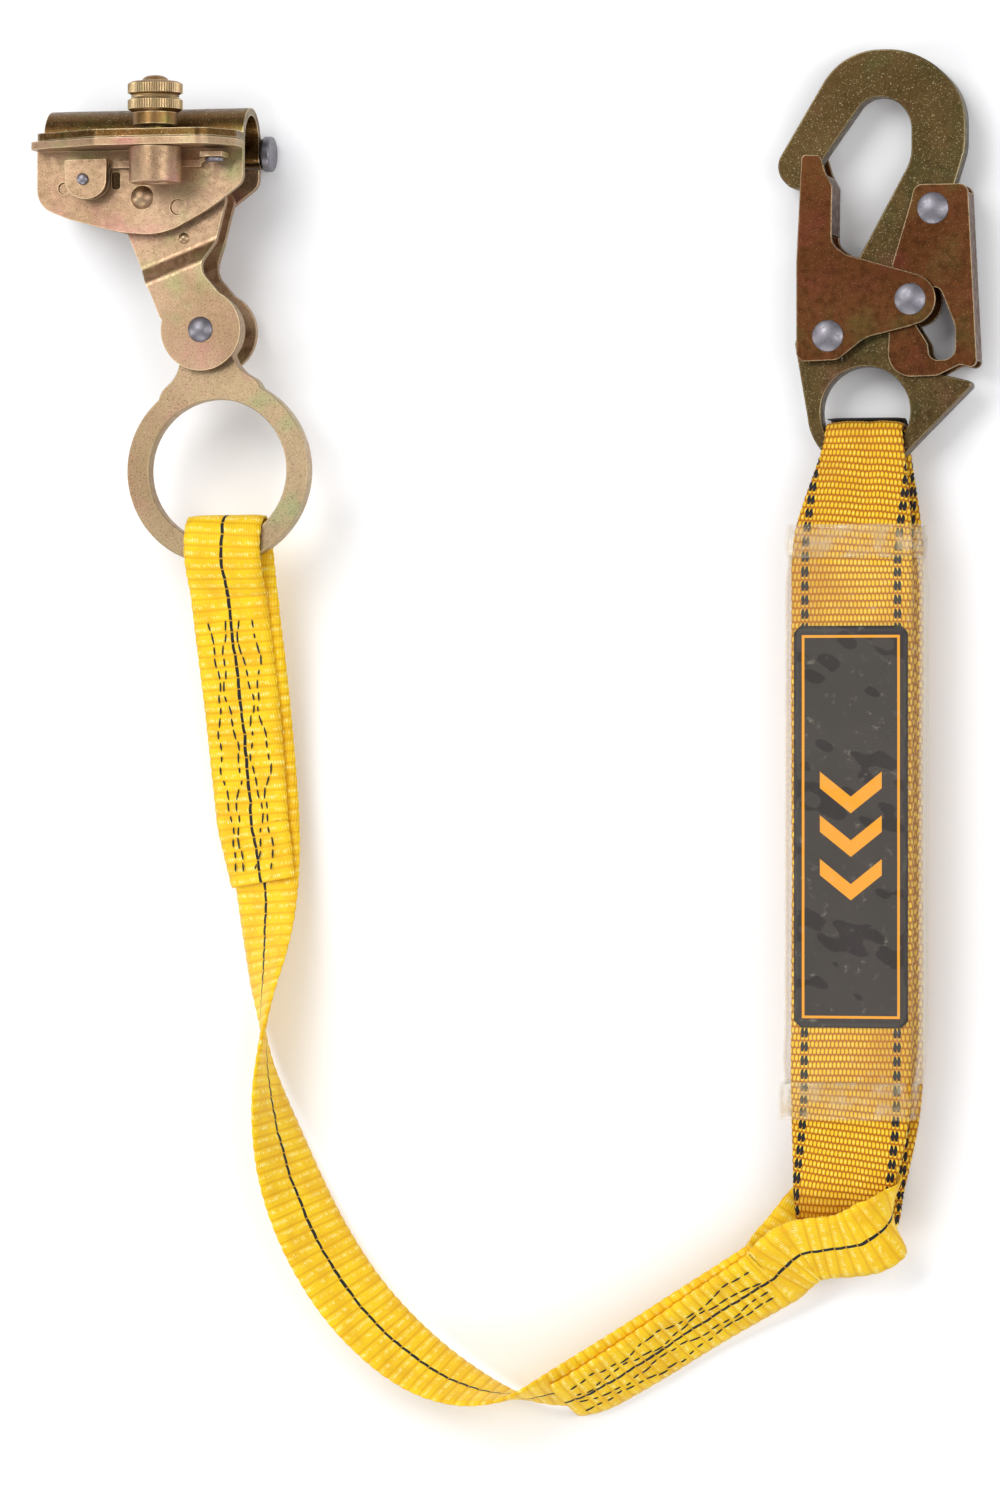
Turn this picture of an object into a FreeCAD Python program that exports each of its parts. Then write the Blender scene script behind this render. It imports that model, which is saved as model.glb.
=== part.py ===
import FreeCAD, Part
import math
import os

# A rope grab on a short shock-absorbing web lanyard with a double-locking snap hook.
# Millimetres. The assembly lies flat: +Z up from the surface, +Y towards the grab and the hook,
# the rope runs along X. The origin is the bottom centre of the hardware and the shock pack.

V = FreeCAD.Vector

# Rope grab
SHEET = 2.5             # steel sheet of the plates and the cover
ROPE_BORE_R = 8.9       # inside radius of the rope channel, for a 16 mm rope
FIT = 0.1               # radial clearance of a pin in its hole
RUN = 0.3               # side clearance between moving flat faces
SPLIT = 0.2             # gap between the two clamped flanges
BODY_LEFT = -39.4       # the body and the cover end here, from the clamp screw
BODY_RIGHT = 30.5
COVER_LEFT = -37.2
FLANGE_DEPTH = 20.2     # flange that the clamp screw goes through, at the screw
FLANGE_END = 8.5        # the same flange, at its two ends
FLANGE_FLAT = 18.5      # half length of the deep middle of the flange, about the screw
HINGE_PIN_R = 2.5
HINGE_HEAD_R = 5.8
HINGE_HEAD = 3.2
HINGE_Y = -2.6
KNUCKLES = 5
EMBOSS_AT = (-3.6, -18.2)
EMBOSS_R = 3.9
EMBOSS_HEIGHT = 2.6
SPACER_AT = (-30.3, -14.8)
SPACER_R = 1.9
PIN_SET = 0.7           # how far pressed pins stop short of the plates' outer faces
SCREW_X = 4.2           # the clamp screw, right of the body's reference point
BOSS_R = 8.5
BOSS_LENGTH = 12.0
LATCH_ROOM = 3.2        # space between the front plate and the boss, for the latch arm
LATCH_SHEET = 1.6
LATCH_OFF = 0.6         # latch off the front plate
LATCH_GAP = 2.4         # between the latch's two tabs
LATCH_PAD = 9.0         # depth of the latch's finger pad
LATCH_PIN_AT = (-22.0, -12.3)
LATCH_PIN_R = 1.5
BUTTON_R = 3.0
STUD_R = 3.6
STUD_BORE = 0.45        # radial clearance of the stud in its bores
STUD_DEPTH = 8.0        # stud below the split
KNOB_R = 8.65
COLLAR_R = 7.4
COLLAR_Y = 3.9
COLLAR_HEIGHT = 4.6
RING_HEIGHT = 4.3       # each knurled ring of the knob
GROOVE_HEIGHT = 1.2
STUD_END_R = 4.4
STUD_END_HEIGHT = 2.2

# Cam lever and attachment ring
LEVER_SHEET = 2.5
LEVER_SPREAD = 13.0     # outside width of the lever in the body
CAM_PIVOT = (8.5, -21.5)
CAM_PIN_R = 2.6
CAM_R = 11.6            # cam radius under the rope at rest
CAM_GAIN = 4.2          # growth of the cam radius over its toothed arc
CAM_TEETH = 9
TOOTH_DEPTH = 1.0
CAM_TIE = (9.2, -31.4)  # small rivet that ties the cam to the lever
CAM_TIE_R = 1.6
JOGGLE_AT = (20.7, -32.6)   # where the lever's plates step apart
JOGGLE_ANGLE = 21.0
JOGGLE_RUN = 5.5
LOBE = (16.1, -61.6)
LOBE_R = 13.4
LOBE_PIN_R = 3.2
LOBE_HEAD_R = 4.3
RING_THICK = 6.5
RING_IN = 23.3
RING_OUT = 30.6
RING_HEAD_R = 12.6
RING_ARM = 46.2         # lobe rivet to ring centre
RING_LEAN = 5.8         # degrees that the ring hangs off the vertical
RING_SIDE = 1.2         # rear face of the ring, in front of the rope's axis

# Webbing
WEB_WIDTH = 25.4
WEB_THICK = 1.8
PACK_WEB_WIDTH = 39.0
PACK_WEB_THICK = 2.4
PACK_CORE = 19.0        # thickness of the folded tear webbing
EYE_SIDE = 2.4          # room at each side of the webbing gathered in the hook's eye
PAD_THICK = 0.8
SLEEVE_WALL = 0.5
SLEEVE_ROOM = 2.7       # from the pack's web out to the side of the sleeve
LABEL_WIDTH = 37.0
LABEL_LENGTH = 128.8
LABEL_THICK = 0.3
LABEL_DROP = 32.6       # from the top of the sleeve to the label
LAP_GAP = 0.35          # between two layers of web sewn together
LOOP_LEAN = 2.4         # how far the pack's lower loop is pulled to the left
LOOP_HALF_LOW = 6.5     # half depth of the pack's lower loop
PACK_LOOP_Z = 10.5
RING_WEB_GAP = 0.5      # web clear of the ring
TAIL_END_Y = -79.7      # cut end of the web sewn below the ring
PACK_TAIL_X = 17.1      # cut end of the web sewn beside the pack
GATHER = 9.0            # the sleeve reaches past the folded webbing at each end
LABEL_GAP = 0.05

# Snap hook, from the centre of its eye
HOOK_PLATE = 8.0
HOOK_SHEET = 1.6
EYE_R = 14.6
EYE_RIM = 4.4
LOCK_GAP = 0.2          # between the hook plate and the lock's flanges
GATE_GAP = 0.3          # between the lock's flanges and the gate's
GATE_PIVOT = (-11.6, 24.3)
GATE_TAIL = (15.2, 35.8)
GATE_TAIL_R = 8.3
LOCK_PIVOT = (22.3, 65.0)
HOOK_PIN_R = 3.0
HOOK_HEAD_R = 5.2
HOOK_HEAD = 1.6
GATE_WALL_X = -10.3     # inner face of the gate's wall
EYE_GAP = 0.4           # pad clear of the eye

# Where each assembly lies
GRAB_AT = (-115.0, 163.2)
EYE_AT = (118.0, 73.2)
PACK_X = 115.3
PACK_TOP = 36.7         # ends of the clear sleeve
PACK_BOTTOM = -154.4
LOOP_BOTTOM = -189.7

# Centre line of the free web: x, y, z, and the turn of its face from lying flat, in degrees.
WEB_ROUTE = [
    (-89.1, 15.3, 18.4, 0),
    (-87.5, -5.7, 14.2, 0),
    (-85.3, -35.7, 9.0, 3),
    (-83.1, -68.7, 6.6, 12),
    (-82.3, -97.7, 8.2, 38),
    (-82.5, -123.7, 13.9, 70),
    (-81.1, -147.7, 15.2, 98),
    (-74.7, -174.7, 13.4, 126),
    (-63.9, -199.7, 12.0, 138),
    (-47.9, -221.7, 12.0, 138),
    (-27.5, -238.7, 12.6, 128),
    (-3.9, -247.3, 15.1, 104),
    (19.1, -244.1, 14.4, 78),
    (41.1, -231.3, 13.0, 56),
    (64.1, -216.7, 12.6, 46),
    (87.1, -203.3, 14.0, 38),
]

GRAB_OUT = ROPE_BORE_R + SHEET
GRAB_Z = HINGE_HEAD_R + HINGE_PIN_R + FIT + GRAB_OUT
HINGE_Z = HINGE_HEAD_R
FRONT_Z = GRAB_Z + GRAB_OUT
REAR_Z = GRAB_Z - GRAB_OUT
BOSS_Z = FRONT_Z + LATCH_ROOM + BOSS_R
KNUCKLE_R = HINGE_PIN_R + FIT + SHEET
LATCH_Z = FRONT_Z + LATCH_OFF
LEVER_IN = LEVER_SPREAD / 2 - LEVER_SHEET
RING_Z0 = GRAB_Z + RING_SIDE
RING_Z1 = RING_Z0 + RING_THICK
RING_AT = (
    GRAB_AT[0] + LOBE[0] + RING_ARM * math.sin(math.radians(RING_LEAN)),
    GRAB_AT[1] + LOBE[1] - RING_ARM * math.cos(math.radians(RING_LEAN)),
)
LOCK_IN = HOOK_PLATE / 2 + LOCK_GAP
GATE_IN = LOCK_IN + HOOK_SHEET + GATE_GAP
GATE_OUT = GATE_IN + HOOK_SHEET
HOOK_Z = GATE_OUT + HOOK_HEAD
LAYER = WEB_THICK + LAP_GAP
PACK_Z = PACK_CORE / 2 + PACK_WEB_THICK + SLEEVE_WALL
CORE_TOP = PACK_TOP - GATHER
CORE_BOTTOM = PACK_BOTTOM + GATHER
SLEEVE_WIDTH = PACK_WEB_WIDTH + 2 * SLEEVE_ROOM
EYE_WEB_WIDTH = 2 * (EYE_R - EYE_SIDE)
EYE_CHORD = math.sqrt(EYE_R ** 2 - (EYE_WEB_WIDTH / 2) ** 2)
FOLD_INNER = EYE_AT[1] - EYE_CHORD + 1.0
LOOP_HALF = HOOK_PLATE / 2 + EYE_GAP + PAD_THICK + PACK_WEB_THICK / 2


def outline(corners):
    """A closed face in XY through corners (x, y, radius), each one rounded by its radius."""
    count = len(corners)
    starts = []
    middles = []
    ends = []
    for i in range(count):
        here = V(corners[i][0], corners[i][1], 0)
        back = V(corners[i - 1][0], corners[i - 1][1], 0) - here
        ahead = V(corners[(i + 1) % count][0], corners[(i + 1) % count][1], 0) - here
        half = back.getAngle(ahead) / 2
        room = 0.49 * min(back.Length, ahead.Length)
        reach = min(corners[i][2] / math.tan(half), room)
        radius = reach * math.tan(half)
        back.normalize()
        ahead.normalize()
        starts.append(here + back * reach)
        ends.append(here + ahead * reach)
        inward = back + ahead
        if inward.Length > 1e-6:
            inward.normalize()
        middles.append(here + inward * (radius / math.sin(half) - radius))
    edges = []
    for i in range(count):
        if (starts[i] - ends[i]).Length > 1e-4:
            edges.append(Part.Arc(starts[i], middles[i], ends[i]).toShape())
        after = starts[(i + 1) % count]
        if (after - ends[i]).Length > 1e-4:
            edges.append(Part.LineSegment(ends[i], after).toShape())
    return Part.Face(Part.Wire(edges))


def plate(corners, low, high):
    """A flat plate of that outline from z low to z high."""
    face = outline(corners)
    face.translate(V(0, 0, low))
    return face.extrude(V(0, 0, high - low))


def rod(at, low, high, radius):
    """A round bar along Z."""
    return Part.makeCylinder(radius, high - low, V(at[0], at[1], low))


def bar_x(y, z, left, right, radius):
    """A round bar along X."""
    return Part.makeCylinder(radius, right - left, V(left, y, z), V(1, 0, 0))


def bar_y(x, z, low, high, radius):
    """A round bar along Y."""
    return Part.makeCylinder(radius, high - low, V(x, low, z), V(0, 1, 0))


def box(x0, x1, y0, y1, z0, z1):
    """A box between those coordinates."""
    return Part.makeBox(x1 - x0, y1 - y0, z1 - z0, V(x0, y0, z0))


def dome(at, z, radius, height, up):
    """A shallow round head on the plane z, standing up or down from it."""
    ball_r = (radius * radius + height * height) / (2 * height)
    centre = z + up * (height - ball_r)
    ball = Part.makeSphere(ball_r, V(at[0], at[1], centre))
    low = min(z, z + up * height)
    return ball.common(rod(at, low, low + height, radius))


def rivet(at, low, high, pin_r, head_r, head):
    """A pin from low to high with a domed head outside each end."""
    solid = rod(at, low, high, pin_r)
    solid = solid.fuse(dome(at, high, head_r, head, 1))
    solid = solid.fuse(dome(at, low, head_r, head, -1))
    return solid.removeSplitter()


def coil(at, low, turns, wire_r, coil_r, leg):
    """A round-wire torsion spring about Z with a straight leg at its lower end."""
    pitch = 2 * wire_r + 0.1
    helix = Part.makeHelix(pitch, pitch * turns, coil_r)
    ring = Part.Wire(Part.Circle(V(coil_r, 0, 0), V(0, 1, 0), wire_r).toShape())
    solid = Part.Wire(helix).makePipeShell([ring], True, True)
    tail = Part.makeCylinder(wire_r, leg, V(coil_r, 0, 0), V(0, -1, 0))
    solid = solid.fuse(tail)
    solid.translate(V(at[0], at[1], low + wire_r))
    return solid


def knuckle_spans(left, right):
    """The X ranges of the hinge knuckles, in order, with a running gap between them."""
    step = (right - left) / KNUCKLES
    spans = []
    for i in range(KNUCKLES):
        spans.append((left + i * step + RUN / 2, left + (i + 1) * step - RUN / 2))
    return spans


def flange(left, right, low, high, near):
    """A clamping flange: deep about the screw, shallower at both ends, rounded corners."""
    corners = [
        (left, near, 0),
        (right, near, 0),
        (right, FRONT_Z + FLANGE_END, 4),
        (SCREW_X + FLANGE_FLAT, FRONT_Z + FLANGE_DEPTH, 6),
        (SCREW_X - FLANGE_FLAT, FRONT_Z + FLANGE_DEPTH, 6),
        (left, FRONT_Z + FLANGE_END, 4),
    ]
    solid = plate(corners, -high, -low)
    solid.rotate(V(0, 0, 0), V(1, 0, 0), 90)
    return solid


SIDE_CORNERS = [
    (BODY_LEFT, 0, 0),
    (BODY_LEFT, -20.5, 8),
    (-28.4, -25.0, 26),
    (-12.0, -29.3, 44),
    (3.0, -30.8, 34),
    (18.9, -22.4, 44),
    (BODY_RIGHT, -13.6, 5),
    (BODY_RIGHT, 0, 0),
]


def body_front_plate():
    """Front side plate, with its flange, the round emboss and the holes for the pins."""
    top = -SPLIT / 2
    side = plate(SIDE_CORNERS, FRONT_Z - SHEET, FRONT_Z)
    side = side.common(box(-60, 60, -60, top, 0, 99))
    solid = side.fuse(flange(BODY_LEFT, BODY_RIGHT, top - SHEET, top, FRONT_Z - SHEET))
    solid = solid.fuse(dome(EMBOSS_AT, FRONT_Z, EMBOSS_R, EMBOSS_HEIGHT, 1))
    solid = solid.cut(dome(EMBOSS_AT, FRONT_Z - SHEET, EMBOSS_R - 0.9, EMBOSS_HEIGHT - 0.8, 1))
    for at, radius in ((SPACER_AT, SPACER_R), (CAM_PIVOT, CAM_PIN_R), (LATCH_PIN_AT, LATCH_PIN_R)):
        solid = solid.cut(rod(at, FRONT_Z - SHEET - 1, FRONT_Z + 1, radius))
    solid = solid.cut(bar_y(SCREW_X, BOSS_Z, -60, 1, STUD_R + STUD_BORE))
    slot = plate([(-13.9, -9.6, 1), (-11.1, -9.6, 1), (-11.1, -15.4, 1), (-13.9, -15.4, 1)], 0, 99)
    return solid.cut(slot).removeSplitter()


def body_rear_plate():
    """Rear side plate, whose top edge is curled into every second hinge knuckle."""
    side = plate(SIDE_CORNERS, REAR_Z, REAR_Z + SHEET)
    solid = side.common(box(-60, 60, -60, HINGE_Y, 0, 99))
    spans = knuckle_spans(COVER_LEFT, BODY_RIGHT)
    for i, (left, right) in enumerate(spans):
        if i % 2:
            solid = solid.fuse(bar_x(HINGE_Y, HINGE_Z, left, right, KNUCKLE_R))
        else:
            start = left - RUN
            stop = right + RUN
            solid = solid.cut(box(start, stop, HINGE_Y - KNUCKLE_R - RUN, 9, 0, 99))
    solid = solid.cut(box(BODY_LEFT - 1, COVER_LEFT, HINGE_Y - KNUCKLE_R - RUN, 9, 0, 99))
    solid = solid.cut(bar_x(HINGE_Y, HINGE_Z, -60, 60, HINGE_PIN_R + FIT))
    for at, radius in ((SPACER_AT, SPACER_R), (CAM_PIVOT, CAM_PIN_R)):
        solid = solid.cut(rod(at, REAR_Z - 1, REAR_Z + SHEET + 1, radius))
    return solid.removeSplitter()


def body_spacer():
    """Shouldered spacer that ties the two side plates together at their left end."""
    solid = rod(SPACER_AT, REAR_Z + SHEET, FRONT_Z - SHEET, SPACER_R + 1.6)
    return solid.fuse(rod(SPACER_AT, REAR_Z + PIN_SET, FRONT_Z - PIN_SET, SPACER_R)).removeSplitter()


def cam_pivot_pin():
    """Headless pin across the side plates, with its ends set just below the faces."""
    return rod(CAM_PIVOT, REAR_Z + PIN_SET, FRONT_Z - PIN_SET, CAM_PIN_R)


def threaded_boss():
    """Round boss under the body's flange that the clamp stud screws into."""
    top = -SPLIT / 2 - SHEET
    solid = bar_y(SCREW_X, BOSS_Z, top - BOSS_LENGTH, top, BOSS_R)
    return solid.cut(bar_y(SCREW_X, BOSS_Z, -60, 9, STUD_R + STUD_BORE))


def cover():
    """Hinged cover: the upper half of the rope channel, its clamping flange and its knuckles."""
    solid = bar_x(0, GRAB_Z, COVER_LEFT, BODY_RIGHT, GRAB_OUT)
    upper = box(-60, 60, SPLIT / 2, 60, 0, 99)
    solid = solid.common(upper)
    leg = box(COVER_LEFT, BODY_RIGHT, HINGE_Y, SPLIT / 2 + 0.5, REAR_Z, REAR_Z + SHEET)
    solid = solid.fuse(leg)
    solid = solid.fuse(flange(COVER_LEFT, BODY_RIGHT, SPLIT / 2, SPLIT / 2 + SHEET, FRONT_Z - SHEET))
    solid = solid.cut(bar_x(0, GRAB_Z, COVER_LEFT - 1, BODY_RIGHT + 1, ROPE_BORE_R))
    solid = solid.cut(box(COVER_LEFT - 1, BODY_RIGHT + 1, -60, 0, REAR_Z + SHEET, 99))
    for i, (left, right) in enumerate(knuckle_spans(COVER_LEFT, BODY_RIGHT)):
        if i % 2:
            start = left - RUN
            stop = right + RUN
            solid = solid.cut(box(start, stop, -60, HINGE_Y + KNUCKLE_R + RUN, 0, REAR_Z + SHEET))
        else:
            solid = solid.fuse(bar_x(HINGE_Y, HINGE_Z, left, right, KNUCKLE_R))
    solid = solid.cut(bar_x(HINGE_Y, HINGE_Z, COVER_LEFT - 1, BODY_RIGHT + 1, HINGE_PIN_R + FIT))
    solid = solid.cut(bar_y(SCREW_X, BOSS_Z, -9, 9, STUD_R + STUD_BORE + 0.3))
    return solid.removeSplitter()


def hinge_pin():
    """Hinge pin with a flat round head at the right end and a peened left end."""
    solid = bar_x(HINGE_Y, HINGE_Z, COVER_LEFT - 0.6, BODY_RIGHT + 0.6, HINGE_PIN_R)
    solid = solid.fuse(bar_x(HINGE_Y, HINGE_Z, COVER_LEFT - 1.8, COVER_LEFT - 0.4, HINGE_PIN_R + 0.9))
    head = bar_x(HINGE_Y, HINGE_Z, BODY_RIGHT + 0.4, BODY_RIGHT + 0.4 + HINGE_HEAD, HINGE_HEAD_R)
    head = head.makeFillet(0.8, [head.Edges[i] for i in (0, 2)])
    return solid.fuse(head).removeSplitter()


def clamp_stud():
    """Stud of the clamp screw, at its thread's root diameter, with a round top above the knob."""
    top = COLLAR_Y + COLLAR_HEIGHT + 2 * RING_HEIGHT + GROOVE_HEIGHT
    solid = bar_y(SCREW_X, BOSS_Z, -STUD_DEPTH, top, STUD_R)
    cap = dome((0, 0), 0, STUD_END_R, STUD_END_HEIGHT, 1)
    cap.rotate(V(0, 0, 0), V(1, 0, 0), -90)
    cap.translate(V(SCREW_X, top, BOSS_Z))
    return solid.fuse(cap).removeSplitter()


def thumb_knob():
    """Knob: a smooth collar below two knurled rings with a groove between them."""
    solid = bar_y(SCREW_X, BOSS_Z, COLLAR_Y, COLLAR_Y + COLLAR_HEIGHT, COLLAR_R)
    y = COLLAR_Y + COLLAR_HEIGHT
    for _ in range(2):
        ring = bar_y(SCREW_X, BOSS_Z, y, y + RING_HEIGHT, KNOB_R)
        ring = ring.makeFillet(0.7, [ring.Edges[i] for i in (0, 2)])
        solid = solid.fuse(ring)
        y += RING_HEIGHT + GROOVE_HEIGHT
    groove = COLLAR_Y + COLLAR_HEIGHT + RING_HEIGHT
    solid = solid.fuse(bar_y(SCREW_X, BOSS_Z, groove - 1, groove + GROOVE_HEIGHT + 1, KNOB_R - 1))
    return solid.cut(bar_y(SCREW_X, BOSS_Z, 0, 60, STUD_R + 0.05)).removeSplitter()


def latch_lever():
    """Latch: a small clevis on its pin, an arm behind the boss and a finger pad at the right."""
    tab = [
        (-28.2, -5.9, 0.6),
        (-13.9, -5.9, 0.6),
        (-14.2, -16.6, 6.5),
        (-21.4, -19.6, 7),
        (-28.0, -16.0, 6),
    ]
    top = LATCH_Z + 2 * LATCH_SHEET + LATCH_GAP
    back = plate(tab, LATCH_Z, LATCH_Z + LATCH_SHEET)
    front = plate(tab, top - LATCH_SHEET, top)
    roof = box(-27.6, -14.5, -7.5, -5.9, LATCH_Z, top)
    arm = box(-14.7, 17.0, -8.6, -6.4, LATCH_Z, LATCH_Z + LATCH_SHEET)
    slope = [(14.6, -8.6, 1), (16.2, -6.4, 1), (20.0, -4.4, 1), (20.0, -6.0, 1)]
    rise = plate(slope, LATCH_Z, LATCH_Z + LATCH_SHEET)
    pad = box(18.6, 26.0, -6.0, -4.4, LATCH_Z, LATCH_Z + LATCH_PAD)
    solid = back.fuse([front, roof, arm, rise, pad])
    solid = solid.cut(rod(LATCH_PIN_AT, LATCH_Z - 1, top + 1, LATCH_PIN_R + FIT))
    return solid.removeSplitter()


def latch_pin():
    """Pin of the latch, riveted into the front plate, with a small domed end."""
    end = LATCH_Z + 2 * LATCH_SHEET + LATCH_GAP + 0.6
    solid = rod(LATCH_PIN_AT, FRONT_Z - SHEET, end, LATCH_PIN_R)
    return solid.fuse(dome(LATCH_PIN_AT, end, LATCH_PIN_R + 0.5, 0.9, 1)).removeSplitter()


def latch_button():
    """Round steel button riveted under the latch's finger pad."""
    solid = bar_y(22.4, LATCH_Z + 5.2, -7.4, -6.0, BUTTON_R)
    return solid.makeFillet(0.5, [solid.Edges[i] for i in (0, 2)])


LEVER_CORNERS = [
    (-10.6, -16.0, 6),
    (8.0, -12.6, 8),
    (24.2, -16.0, 4),
    (19.9, -32.6, 10),
    (15.2, -41.5, 6),
    (23.0, -50.6, 12),
    (LOBE[0] + LOBE_R * 0.99, LOBE[1] + 6.0, 4),
    (LOBE[0], LOBE[1], 0),
    (LOBE[0] - LOBE_R * 0.99, LOBE[1] + 3.0, 3),
    (-0.8, -49.6, 12),
    (-4.6, -42.6, 3),
    (-10.0, -29.7, 10),
]


def lever_plate():
    """Front plate of the lever: close to its twin in the body, then stepped out for the ring."""
    low = GRAB_Z + LEVER_IN
    shift = FRONT_Z - LEVER_SHEET - low
    flat = plate(LEVER_CORNERS, 0, 99).fuse(rod(LOBE, 0, 99, LOBE_R))
    step = [
        (-80, low, 0),
        (0, low, 1.5),
        (JOGGLE_RUN, low + shift, 1.5),
        (80, low + shift, 0),
        (80, low + shift + LEVER_SHEET, 0),
        (JOGGLE_RUN - 0.9, low + shift + LEVER_SHEET, 3),
        (-0.9, low + LEVER_SHEET, 3),
        (-80, low + LEVER_SHEET, 0),
    ]
    sheet = plate(step, -80, 80)
    sheet.rotate(V(0, 0, 0), V(1, 0, 0), 90)
    sheet.rotate(V(0, 0, 0), V(0, 0, 1), JOGGLE_ANGLE - 90)
    sheet.translate(V(JOGGLE_AT[0], JOGGLE_AT[1], 0))
    solid = sheet.common(flat)
    solid = solid.cut(rod(CAM_PIVOT, 0, 99, CAM_PIN_R + FIT))
    solid = solid.cut(rod(LOBE, 0, 99, LOBE_PIN_R))
    return solid.cut(rod(CAM_TIE, 0, 99, CAM_TIE_R)).removeSplitter()


def lever_rear_plate():
    """Mirror image of the front plate."""
    return lever_plate().mirror(V(0, 0, GRAB_Z), V(0, 0, 1))


def cam():
    """Toothed cam between the lever's plates, whose radius grows as it turns into the rope."""
    corners = [(CAM_TIE[0] - 6.5, CAM_TIE[1] - 3.6, 3), (CAM_TIE[0] + 6.5, CAM_TIE[1] - 3.6, 3)]
    steps = 2 * CAM_TEETH
    for i in range(steps + 1):
        angle = math.radians(30 + 120 * i / steps)
        share = abs(angle - math.pi / 2) / math.radians(60)
        radius = CAM_R + CAM_GAIN * share - (0 if i % 2 else TOOTH_DEPTH)
        x = CAM_PIVOT[0] + radius * math.cos(angle)
        y = CAM_PIVOT[1] + radius * math.sin(angle)
        corners.append((x, y, 0.15))
    solid = plate(corners, GRAB_Z - LEVER_IN, GRAB_Z + LEVER_IN)
    solid = solid.cut(rod(CAM_PIVOT, 0, 99, CAM_PIN_R + FIT))
    return solid.cut(rod(CAM_TIE, 0, 99, CAM_TIE_R)).removeSplitter()


def cam_rivet():
    """Small rivet that ties the cam to both lever plates."""
    half = LEVER_SPREAD / 2
    return rivet(CAM_TIE, GRAB_Z - half, GRAB_Z + half, CAM_TIE_R, CAM_TIE_R + 0.3, 1.0)


def cam_spring():
    """Torsion spring on the cam pin, between the lever and the front plate."""
    low = GRAB_Z + LEVER_SPREAD / 2 + 0.1
    return coil(CAM_PIVOT, low, 1.4, 0.45, CAM_PIN_R + 1.0, 4)


def lever_rivet():
    """Domed rivet through the lever's lobes, which the ring turns on."""
    return rivet(LOBE, REAR_Z, FRONT_Z, LOBE_PIN_R, LOBE_HEAD_R, 2.0)


def ring_spacer():
    """Bush on the lever rivet behind the ring."""
    solid = rod(LOBE, REAR_Z + LEVER_SHEET, RING_Z0 - RUN, LOBE_PIN_R + 3.0)
    return solid.cut(rod(LOBE, 0, 99, LOBE_PIN_R))


def attachment_ring():
    """Flat ring whose neck ends in the round head on the lever rivet."""
    neck = [
        (-RING_HEAD_R * 0.72, 0, 0),
        (-8.6, -13.0, 14),
        (-20.4, -RING_ARM + 25.2, 14),
        (-10.0, -RING_ARM + 12.0, 0),
        (10.0, -RING_ARM + 12.0, 0),
        (20.4, -RING_ARM + 25.2, 14),
        (8.6, -13.0, 14),
        (RING_HEAD_R * 0.72, 0, 0),
    ]
    solid = plate(neck, RING_Z0, RING_Z1)
    solid = solid.fuse(rod((0, 0), RING_Z0, RING_Z1, RING_HEAD_R))
    solid = solid.fuse(rod((0, -RING_ARM), RING_Z0, RING_Z1, RING_OUT))
    solid = solid.cut(rod((0, -RING_ARM), 0, 99, RING_IN))
    solid = solid.cut(rod((0, 0), 0, 99, LOBE_PIN_R + FIT)).removeSplitter()
    solid.rotate(V(0, 0, 0), V(0, 0, 1), RING_LEAN)
    solid.translate(V(LOBE[0], LOBE[1], 0))
    return solid


HOOK_CORNERS = [
    (-12.6, 83.2, 0.8),
    (-21.2, 68.8, 5),
    (-30.3, 78.4, 7),
    (-7.6, 116.5, 22),
    (17.3, 116.5, 26),
    (32.5, 101.3, 26),
    (32.5, 84.0, 20),
    (21.8, 49.0, 8),
    (11.4, 41.0, 4),
    (11.4, 17.5, 3),
    (18.2, 13.4, 3),
    (35.8, 9.0, 1.5),
    (EYE_R * 0.93, -EYE_R * 0.9, 2),
    (-EYE_R * 1.28, -EYE_R * 0.2, 0),
    (-23.2, 23.0, 4),
    (-15.0, 33.5, 6),
    (-7.0, 40.5, 4),
    (15.0, 81.0, 14),
    (15.0, 94.9, 10.4),
    (8.9, 101.2, 10.4),
    (0.3, 101.2, 10.4),
]


def hook_body():
    """Forged plate of the hook: nose, bow, spine with a recess for the gate's tail pin, and eye."""
    half = HOOK_PLATE / 2
    solid = plate(HOOK_CORNERS, -half, half).fuse(rod((0, 0), -half, half, EYE_R + EYE_RIM))
    solid = solid.removeSplitter().cut(rod((0, 0), -half, half, EYE_R))
    for at in (GATE_PIVOT, LOCK_PIVOT):
        solid = solid.cut(rod(at, -half, half, HOOK_PIN_R))
    return solid


GATE_CORNERS = [
    (-20.2, 82.8, 1.5),
    (-14.0, 82.6, 1.5),
    (-12.4, 77.0, 3),
    (-10.1, 72.6, 3),
    (-10.4, 54.0, 5),
    (-5.6, 50.4, 4),
    (GATE_TAIL[0] + 2.2, GATE_TAIL[1] + GATE_TAIL_R - 0.2, 3),
    (GATE_TAIL[0] + 2.6, GATE_TAIL[1] - GATE_TAIL_R + 0.2, 3),
    (0.7, 23.6, 12),
    (-8.4, 16.5, 4),
    (-21.9, 16.0, 3),
    (-21.9, 48.0, 30),
]


def gate():
    """Gate: two flanges over the hook plate, joined along the side that meets the nose."""
    flanges = plate(GATE_CORNERS, -GATE_OUT, GATE_OUT)
    flanges = flanges.fuse(rod(GATE_TAIL, -GATE_OUT, GATE_OUT, GATE_TAIL_R)).removeSplitter()
    wall = plate(GATE_CORNERS, -GATE_OUT, GATE_OUT)
    wall = wall.common(box(GATE_WALL_X - HOOK_SHEET, GATE_WALL_X + 2.3, 57.0, 76.5, -99, 99))
    solid = flanges.cut(box(-60, 60, 0, 120, -GATE_IN, GATE_IN)).fuse(wall)
    for at, radius in ((GATE_PIVOT, HOOK_PIN_R + FIT), (GATE_TAIL, HOOK_PIN_R)):
        solid = solid.cut(rod(at, -99, 99, radius))
    return solid.removeSplitter()


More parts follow.
